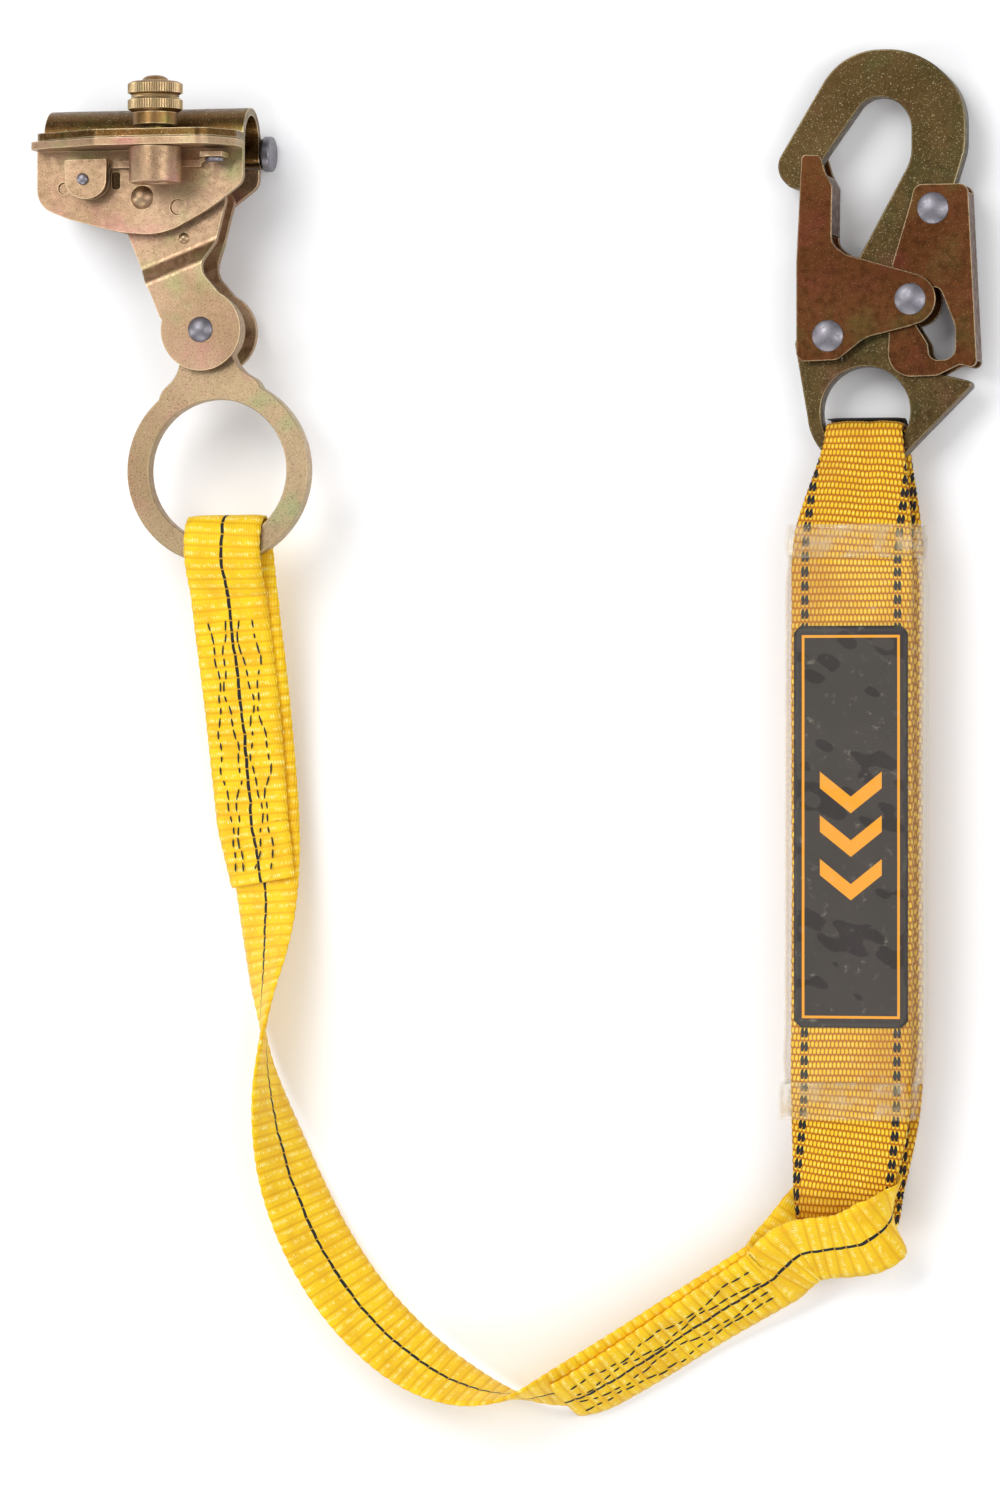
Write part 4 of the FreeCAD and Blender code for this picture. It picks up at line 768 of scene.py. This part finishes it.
def build_pack(cloth, black, core_cloth):
    """The wide web round the eye, over the pack and round its lower loop, gathered at the eye."""
    front = [
        (0.0691, 0.0, 0.0244), (0.0688, 0.0048, 0.0244), (0.0664, 0.0065, 0.0248),
        (0.0610, 0.0068, 0.0262), (0.0520, 0.0076, 0.0305), (0.0420, 0.0094, 0.0350),
        (0.0330, 0.0106, 0.0380), (0.0240, 0.0106, 0.0390), (0.0150, 0.0106, 0.0390),
        (-0.0250, 0.0106, 0.0390), (-0.0700, 0.0106, 0.0390),
        (-0.1150, 0.0106, 0.0390), (-0.1370, 0.0106, 0.0390), (-0.1470, 0.0102, 0.0388),
        (-0.1580, 0.0096, 0.0374), (-0.1690, 0.0084, 0.0344), (-0.1780, 0.0076, 0.0316),
        (-0.1850, 0.0066, 0.0302), (-0.1884, 0.0030, 0.0300), (-0.1886, 0.0, 0.0304),
    ]
    rows = []
    for side in (1, -1):
        ordered = front if side > 0 else front[-2:0:-1]
        for y, z, width in ordered:
            axis = float(np.interp(y, [-0.165, -0.150, 0.033, 0.058], [LOOP_Z, PACK_Z, PACK_Z, HOOK_Z]))
            drawn = float(np.interp(y, [-0.180, -0.155], [-0.0018, 0.0])) if side > 0 else 0.0
            rows.append(((float(pack_middle(y)) + drawn, y, axis + side * z), width))
    line = spline_through([r[0] for r in rows], closed=True)
    width = spline_through([(r[1], 0, 0) for r in rows], closed=True)[:, :1]
    across = np.tile((-1.0, 0, 0), (len(line), 1))

    def lift(share, p):
        """Gathers where the web narrows at the eye and at the lower loop."""
        away = np.minimum(share, 1 - share)
        top = np.clip((0.115 - away) / 0.085, 0, 1)
        low = np.clip((away - 0.425) / 0.06, 0, 1)
        fold = np.cos(p * 7.2 + 0.6) * 0.5 + 0.25 * np.cos(p * 13 + 1.9)
        return 0.0011 * top * fold * np.clip(away / 0.03, 0.25, 1) + 0.0008 * low * fold

    web, *_ = woven_band("pack_webbing", line, across, width, PACK_THICK, PACK_RIB, "lanyard",
                         cloth, depth=0.00022, closed=True, seed=3, lift=lift, sides=17)
    for vert in web.data.vertices:
        vert.co.z = max(vert.co.z, FLOOR_GAP)
    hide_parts("pack_web")

    # Black wear pad: between the web and the hook's eye, and turned over the crest behind.
    pad_rows = []
    for side in (1, -1):
        inner = [(0.0462, 0.0056), (0.0560, 0.0053), (0.0630, 0.0051), (0.0662, 0.0036), (0.0668, 0.0)]
        ordered = inner if side > 0 else inner[-2::-1]
        pad_rows += [(float(pack_middle(y)), y, HOOK_Z + side * z) for y, z in ordered]
    pad_line = spline_through(pad_rows)
    pad, *_ = woven_band("wear_pad_lining", pad_line, np.tile((-1.0, 0, 0), (len(pad_line), 1)),
                         np.full((len(pad_line), 1), 0.0236), PAD_THICK, PAD_RIB, "lanyard",
                         black, depth=0.0001, seed=8)
    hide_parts("wear_pad")
    crest = [(EYE_X, 0.0707, HOOK_Z + 0.0030), (EYE_X, 0.0712, HOOK_Z + 0.0002),
             (EYE_X, 0.0706, HOOK_Z - 0.0050), (EYE_X, 0.0680, HOOK_Z - 0.0078),
             (EYE_X, 0.0600, HOOK_Z - 0.0085), (EYE_X, 0.0560, HOOK_Z - 0.0087)]
    crest_line = spline_through(crest)
    woven_band("wear_pad_binding", crest_line, np.tile((-1.0, 0, 0), (len(crest_line), 1)),
               np.full((len(crest_line), 1), 0.0246), PAD_THICK, PAD_RIB, "lanyard", black,
               depth=0.0001, seed=9)

    # Tear webbing: one strap folded to and fro inside the pack.
    pitch = CORE_DEEP / CORE_LAYERS
    top, low = 0.0245, -0.1425
    zigzag = []
    for i in range(CORE_LAYERS):
        z = PACK_Z - CORE_DEEP / 2 + (i + 0.5) * pitch
        ends = (low, top) if i % 2 == 0 else (top, low)
        sign = 1 if ends[0] < ends[1] else -1
        for share in (0.004, 0.05, 0.35, 0.65, 0.95, 0.996):
            zigzag.append((PACK_X, ends[0] + (ends[1] - ends[0]) * share, z))
        zigzag.append((PACK_X, ends[1] + sign * 0.0012, z + pitch * 0.5))
    core_line = spline_through(zigzag[:-1])
    core, *_ = woven_band("folded_tear_webbing", core_line, np.tile((1.0, 0, 0), (len(core_line), 1)),
                          np.full((len(core_line), 1), 0.0365), pitch * 0.92, 0.012, "lanyard",
                          core_cloth, depth=0.00002, seed=6, sides=7)
    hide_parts("tear_webbing")


def rounded_rect(half_wide, half_high, radius, count):
    """Points round a rounded rectangle, anticlockwise, count on each corner."""
    points = []
    for corner in range(4):
        cx = (half_wide - radius) * (1 if corner in (0, 3) else -1)
        cz = (half_high - radius) * (1 if corner in (0, 1) else -1)
        for k in range(count):
            angle = math.pi / 2 * (corner + k / (count - 1))
            points.append((cx + radius * math.cos(angle), cz + radius * math.sin(angle)))
    dense = []
    for i, a in enumerate(points):
        b = points[(i + 1) % len(points)]
        parts = 1 if i % count < count - 1 else 26 if (i // count) % 2 == 0 else 12
        for k in range(parts):
            dense.append((a[0] + (b[0] - a[0]) * k / parts, a[1] + (b[1] - a[1]) * k / parts))
    return dense


def sleeve_part(name, y_top, y_low, profile, material, wall, crease):
    """A length of clear tube about the pack; profile gives its half sizes and shift at a height."""
    rings = int((y_top - y_low) / 0.0014)
    outer = []
    inner = []
    for i in range(rings + 1):
        y = y_top + (y_low - y_top) * i / rings
        wide, high, shift, z = profile(y)
        ring = rounded_rect(wide, high, min(0.0045, high * 0.9), 6)
        for layer, inset in ((outer, 0.0), (inner, wall)):
            row = []
            for k, (a, b) in enumerate(ring):
                angle = math.atan2(b / high, a / wide)
                wave = crease * (math.sin(y * 900 + 3 * math.sin(angle * 2)) * 0.5
                                 + math.sin(angle * 7 + y * 260) * 0.5 + math.sin(a * 700 + y * 410) * 0.4)
                size = 1 - inset / max(wide, 1e-6)
                flat = 1 - inset / max(high, 1e-6)
                push = wave / 0.022
                tall = max(z + b * flat * (1 + push), FLOOR_GAP / 2 + inset)
                row.append((PACK_X + shift + a * size * (1 + push * 0.25), y, tall))
            layer.append(row)
    count = len(outer[0])
    verts = [p for row in outer for p in row] + [p for row in inner for p in row]
    base = len(outer) * count
    faces = []
    uvs = []
    for i in range(rings):
        for k in range(count):
            m = (k + 1) % count
            a, b, c, d = i * count + k, i * count + m, (i + 1) * count + m, (i + 1) * count + k
            faces.append((a, b, c, d))
            faces.append((base + d, base + c, base + b, base + a))
            quad = [(i * 0.14, k * 0.16), (i * 0.14, k * 0.16 + 0.16), (i * 0.14 + 0.14, k * 0.16 + 0.16),
                    (i * 0.14 + 0.14, k * 0.16)]
            uvs += quad + quad[::-1]
    for k in range(count):
        m = (k + 1) % count
        end = rings * count
        faces.append((k, base + k, base + m, m))
        faces.append((end + k, end + m, base + end + m, base + end + k))
        uvs += [(0, 0)] * 8
    return new_piece(name, verts, faces, "lanyard", material, uvs=uvs)


def build_sleeve(vinyl, weld):
    """Clear sleeve over the pack with a shrunk welded band at each end."""
    top, low = 0.0367, -0.1544

    def body(y):
        near = max(0.0, 1 - min(top - 0.0095 - y, y - low - 0.0095) / 0.010)
        return 0.0221 - 0.0009 * near, 0.0125 - 0.0006 * near, lean(y), PACK_Z + 0.0002

    def lean(y):
        return float(np.interp(y, [low, low + 0.03, top], [-0.0016, -0.0003, 0.0]))

    def band_top(y):
        share = (top - y) / 0.0112
        swell = 0.0007 * math.sin(math.pi * min(1, share)) + (0.0004 if share < 0.12 else 0)
        return 0.0213 + swell, 0.0124 + swell * 0.4, lean(y) - 0.0002, PACK_Z + 0.0002

    def band_low(y):
        share = (y - low) / 0.0125
        swell = 0.0007 * math.sin(math.pi * min(1, share)) + (0.0005 if share < 0.12 else 0)
        return 0.0214 + swell, 0.0122 + swell * 0.4, lean(y) - 0.0012, PACK_Z + 0.0002

    sleeve = sleeve_part("clear_sleeve_body", top - 0.0098, low + 0.0112, body, vinyl, 0.0004, 0.00011)
    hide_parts("clear_sleeve")
    sleeve_part("clear_sleeve_top_band", top, top - 0.0108, band_top, weld, 0.0006, 0.00022)
    sleeve_part("clear_sleeve_bottom_band", low + 0.0122, low, band_low, weld, 0.0006, 0.00022)


def build_label(film):
    """Thin printed card with rounded corners and a faint waviness."""
    (x0, y0, z0), (x1, y1, z1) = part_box("label")
    across_count, along_count = 20, 60
    mid = (x0 + x1) / 2
    middle_y = (y0 + y1) / 2
    half_wide = (x1 - x0) / 2
    half_long = (y1 - y0) / 2
    corner = 0.0022
    grid = []
    for i in range(along_count + 1):
        b = -half_long + 2 * half_long * i / along_count
        over = max(0.0, abs(b) - (half_long - corner))
        narrow = corner - math.sqrt(max(0.0, corner ** 2 - over ** 2))
        for k in range(across_count + 1):
            a = (-1 + 2 * k / across_count) * (half_wide - narrow)
            wave = 0.00005 * math.sin(b * 130) + 0.00004 * math.sin(b * 310 + a * 120)
            grid.append((a, b, wave))
    verts = [(mid + a, middle_y + b, z1 + w) for a, b, w in grid]
    verts += [(mid + a, middle_y + b, z0 + w) for a, b, w in grid]
    row = across_count + 1
    base = len(grid)
    faces = []
    uvs = []

    def add(*corners):
        faces.append(corners)
        uvs.extend((grid[c % base][1] * 100, grid[c % base][0] * 100) for c in corners)

    for i in range(along_count):
        for k in range(across_count):
            a, b, c, d = i * row + k, i * row + k + 1, (i + 1) * row + k + 1, (i + 1) * row + k
            add(a, b, c, d)
            add(base + d, base + c, base + b, base + a)
    rim = list(range(row)) + [(i + 1) * row - 1 for i in range(1, along_count + 1)]
    rim += [along_count * row + k for k in reversed(range(row - 1))]
    rim += [i * row for i in reversed(range(1, along_count))]
    for i, a in enumerate(rim):
        b = rim[(i + 1) % len(rim)]
        add(b, a, base + a, base + b)
    piece = new_piece("printed_label", verts, faces, "lanyard", film, uvs=uvs)
    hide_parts("label")


# ---------------------------------------------------------------- metal
SCREW_X, GRAB_Y = -0.1108, 0.1632
SCREW_Z = 0.0429
TURNED_TIP = 0.00005    # radius left at the ends of a turned rod
CREASE_ANGLE = math.radians(35)


def dressed(node, body, material, edge):
    """The CAD piece with merged faces and rounded, brighter edges."""
    source = NODES[node].data
    shape = bmesh.new()
    shape.from_mesh(source)
    bmesh.ops.remove_doubles(shape, verts=shape.verts, dist=2e-6)
    bmesh.ops.dissolve_degenerate(shape, edges=shape.edges, dist=1e-6)
    bmesh.ops.dissolve_limit(shape, angle_limit=math.radians(0.6), verts=shape.verts, edges=shape.edges)
    mesh = bpy.data.meshes.new(node + "_finish")
    shape.to_mesh(mesh)
    shape.free()
    mesh.materials.clear()
    mesh.materials.append(material)
    piece = bpy.data.objects.new(node + "_finish", mesh)
    bpy.context.scene.collection.objects.link(piece)
    mesh.polygons.foreach_set("use_smooth", [True] * len(mesh.polygons))
    if edge:
        bevel = piece.modifiers.new("rounded edges", "BEVEL")
        bevel.width = edge
        bevel.segments = 2
        bevel.limit_method = "ANGLE"
        bevel.angle_limit = CREASE_ANGLE
        bevel.miter_outer = "MITER_ARC"
        even = piece.modifiers.new("flat faces", "WEIGHTED_NORMAL")
        even.mode = "FACE_AREA_WITH_ANGLE"
        even.weight = 50
    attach(piece, body)
    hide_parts(node)


def lathe(name, profile, axis_at, body, material, sides=72):
    """A turned piece along Y from (y, radius) pairs, closed at both ends."""
    verts = []
    for y, radius in profile:
        for k in range(sides):
            angle = 2 * math.pi * k / sides
            verts.append((axis_at[0] + radius * math.sin(angle), y, axis_at[1] + radius * math.cos(angle)))
    faces = []
    for i in range(len(profile) - 1):
        for k in range(sides):
            m = (k + 1) % sides
            faces.append((i * sides + k, i * sides + m, (i + 1) * sides + m, (i + 1) * sides + k))
    faces.append(tuple(reversed(range(sides))))
    faces.append(tuple((len(profile) - 1) * sides + k for k in range(sides)))
    piece = new_piece(name, verts, faces, body, material)
    shape = bmesh.new()
    shape.from_mesh(piece.data)
    bmesh.ops.recalc_face_normals(shape, faces=shape.faces)
    for line in shape.edges:
        if len(line.link_faces) == 2 and line.calc_face_angle() > math.radians(30):
            line.smooth = False
    shape.to_mesh(piece.data)
    shape.free()
    return piece


def knurl_tree():
    """Straight knurl: a small ridge repeated round a circle in the XZ plane."""
    t = NodeTree("knurl", [("Ridges", "NodeSocketInt", 60), ("Radius", "NodeSocketFloat", 0.0085),
                           ("Height", "NodeSocketFloat", 0.0034), ("Depth", "NodeSocketFloat", 0.0005),
                           ("Material", "NodeSocketMaterial", None)])
    circle = t.add("GeometryNodeMeshCircle", {"Vertices": t.start.outputs["Ridges"],
                                              "Radius": t.start.outputs["Radius"]})
    ridge = t.add("GeometryNodeMeshCylinder", {"Vertices": 5, "Radius": t.start.outputs["Depth"],
                                               "Depth": t.start.outputs["Height"]}, fill_type="NGON")
    place = t.add("GeometryNodeInputPosition")
    turn = t.add("FunctionNodeAlignRotationToVector", {"Vector": place.outputs[0]}, axis="X")
    laid = t.add("GeometryNodeInstanceOnPoints", {"Points": circle.outputs[0], "Instance": ridge.outputs[0],
                                                  "Rotation": turn.outputs[0]})
    lean = t.add("GeometryNodeTransform", {"Geometry": laid.outputs[0], "Rotation": (math.pi / 2, 0, 0)})
    here = t.add("GeometryNodeJoinGeometry")
    t.tree.links.new(lean.outputs[0], here.inputs[0])
    return t.finish(here.outputs[0])


def thread_tree():
    """Screw thread: a ridge wound in a helix about the screw's axis."""
    t = NodeTree("thread", [("Turns", "NodeSocketFloat", 18.0), ("Radius", "NodeSocketFloat", 0.0036),
                            ("Length", "NodeSocketFloat", 0.0225), ("Ridge", "NodeSocketFloat", 0.0005),
                            ("Material", "NodeSocketMaterial", None)])
    helix = t.add("GeometryNodeCurveSpiral", {"Resolution": 32, "Rotations": t.start.outputs["Turns"],
                                              "Start Radius": t.start.outputs["Radius"],
                                              "End Radius": t.start.outputs["Radius"],
                                              "Height": t.start.outputs["Length"]})
    section = t.add("GeometryNodeCurvePrimitiveCircle",
                    {"Resolution": 5, "Radius": t.start.outputs["Ridge"]})
    ridge = t.add("GeometryNodeCurveToMesh",
                  {"Curve": helix.outputs[0], "Profile Curve": section.outputs[0], "Fill Caps": True})
    lean = t.add("GeometryNodeTransform", {"Geometry": ridge.outputs[0], "Rotation": (math.pi / 2, 0, 0)})
    return t.finish(lean.outputs[0])


def put_at(piece, place):
    """Move a finished mesh to its place, with its object left at the origin."""
    piece.data.transform(Matrix.Translation(place))


def build_screw(knob):
    """Thumb knob with two knurled rings, and the stud with its thread and domed end."""
    y = GRAB_Y
    profile = [
        (y + 0.0039, 0.0048), (y + 0.0039, 0.0070), (y + 0.0043, 0.0074), (y + 0.0082, 0.0074),
        (y + 0.0085, 0.0077), (y + 0.0090, 0.0084), (y + 0.0094, 0.0086), (y + 0.0122, 0.0086),
        (y + 0.0127, 0.0083), (y + 0.0129, 0.0078), (y + 0.0131, 0.0077), (y + 0.0136, 0.00785),
        (y + 0.0139, 0.0077), (y + 0.0141, 0.0079), (y + 0.0144, 0.0084), (y + 0.0148, 0.0086),
        (y + 0.0175, 0.0086), (y + 0.0180, 0.0083), (y + 0.0183, 0.0076), (y + 0.0183, 0.0044),
    ]
    body = lathe("thumb_knob_body", profile, (SCREW_X, SCREW_Z), "thumb_knob", knob)
    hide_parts("thumb_knob")
    ridges = knurl_tree()
    for name, middle in (("lower", 0.0108), ("upper", 0.0161)):
        base = bpy.data.meshes.new("knurl")
        piece = grown("thumb_knob_knurl_" + name, base, ridges,
                      {"Ridges": 64, "Radius": 0.0086, "Height": 0.0030, "Depth": 0.00036,
                       "Material": knob}, "thumb_knob", smooth=False)
        put_at(piece, (SCREW_X, y + middle, SCREW_Z))
    rod = [
        (y - 0.0080, TURNED_TIP), (y - 0.0080, 0.0031), (y - 0.0074, 0.0036), (y + 0.0183, 0.0036),
        (y + 0.0183, 0.0044), (y + 0.0188, 0.0044), (y + 0.0195, 0.0039), (y + 0.0201, 0.0029),
        (y + 0.0204, 0.0016), (y + 0.0205, TURNED_TIP),
    ]
    stud = lathe("clamp_stud_body", rod, (SCREW_X, SCREW_Z), "clamp_stud", knob, sides=40)
    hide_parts("clamp_stud")
    base = bpy.data.meshes.new("thread")
    thread = grown("clamp_stud_thread", base, thread_tree(),
                   {"Turns": 16.0, "Radius": 0.00355, "Length": 0.0200, "Ridge": 0.00042, "Material": knob},
                   "clamp_stud")
    put_at(thread, (SCREW_X, y + 0.0125, SCREW_Z))


def build_metal(mats):
    """Every steel piece, with its finish and the rounding of its edges in millimetres."""
    pieces = (
        ("body_front_plate", "grab_body", "gold_zinc", 0.45),
        ("body_rear_plate", "grab_body", "gold_zinc", 0.45),
        ("body_spacer", "grab_body", "gold_zinc", 0.2), ("cam_pivot_pin", "grab_body", "gold_zinc", 0.3),
        ("threaded_boss", "grab_body", "gold_zinc", 0.5), ("cover", "cover", "bronze_zinc", 0.5),
        ("hinge_pin", "grab_body", "rivet_steel", 0.25), ("latch_lever", "latch", "gold_zinc", 0.3),
        ("latch_pin", "grab_body", "rivet_steel", 0.2), ("latch_button", "latch", "rivet_steel", 0.2),
        ("lever_front_plate", "lever", "gold_zinc", 0.45), ("lever_rear_plate", "lever", "gold_zinc", 0.45),
        ("cam", "lever", "gold_zinc", 0.15), ("cam_rivet", "lever", "gold_zinc", 0.15),
        ("cam_spring", "grab_body", "spring_steel", 0.0), ("lever_rivet", "lever", "rivet_steel", 0.2),
        ("ring_spacer", "lever", "gold_zinc", 0.3), ("attachment_ring", "ring", "ring_zinc", 1.1),
        ("hook_body", "hook", "hook_zinc", 1.0), ("gate", "gate", "gate_zinc", 0.3),
        ("lock_lever", "lock", "gate_zinc", 0.3), ("gate_pivot_rivet", "hook", "rivet_steel", 0.2),
        ("gate_tail_rivet", "gate", "rivet_steel", 0.2), ("lock_pivot_rivet", "hook", "rivet_steel", 0.2),
        ("gate_spring", "hook", "spring_steel", 0.0), ("lock_spring", "hook", "spring_steel", 0.0),
    )
    for node, body, slot, edge in pieces:
        dressed(node, body, mats[slot], edge * MM)


# ---------------------------------------------------------------- everything
def main():
    """The studio, the finishes and every piece."""
    build_studio()
    mats = {}
    for name, base, warm, cool, rough, grain, glints in (
        ("gold_zinc", (184, 154, 124), (190, 142, 128), (170, 160, 116), 0.42, 0.45, 0.30),
        ("bronze_zinc", (104, 76, 40), (122, 84, 50), (108, 96, 48), 0.32, 0.5, 0.35),
        ("knob_zinc", (150, 116, 72), (158, 112, 84), (140, 134, 70), 0.34, 0.25, 0.12),
        ("ring_zinc", (182, 158, 124), (188, 148, 128), (162, 162, 118), 0.40, 0.5, 0.35),
        ("hook_zinc", (94, 76, 46), (108, 78, 56), (84, 78, 46), 0.36, 0.35, 0.30),
        ("gate_zinc", (102, 62, 35), (110, 60, 42), (98, 76, 40), 0.34, 0.15, 0.12),
    ):
        mats[name] = zinc(name, rgb(*base), rgb(*warm), rgb(*cool), rough, grain, glints)
    mats["rivet_steel"] = bright_steel("rivet_steel", rgb(138, 135, 142), 0.42)
    mats["spring_steel"] = bright_steel("spring_steel", rgb(120, 112, 104), 0.3)
    yellow = webbing("yellow_web", rgb(250, 208, 6), rgb(255, 244, 150), rgb(222, 158, 0),
                     RIB, [(0.0, 0.062)])
    cloth = seeded_weave("pack_web", rgb(248, 196, 16), rgb(255, 232, 110), rgb(176, 104, 10),
                         PACK_RIB, SEED, (-1.50, 1.50))
    black = webbing("black_pad", rgb(24, 23, 24), rgb(52, 50, 50), rgb(8, 8, 8), PAD_RIB, [])
    core_cloth = seeded_weave("tear_web", rgb(226, 172, 30), rgb(244, 200, 80), rgb(160, 100, 14),
                              PACK_RIB, SEED, ())
    thread = thread_yarn("stitch_thread", rgb(30, 26, 22))
    build_lanyard(yellow, thread)
    build_pack(cloth, black, core_cloth)
    build_sleeve(clear_vinyl(), vinyl_weld())
    build_label(label_film())
    build_screw(mats["knob_zinc"])
    build_metal(mats)


main()
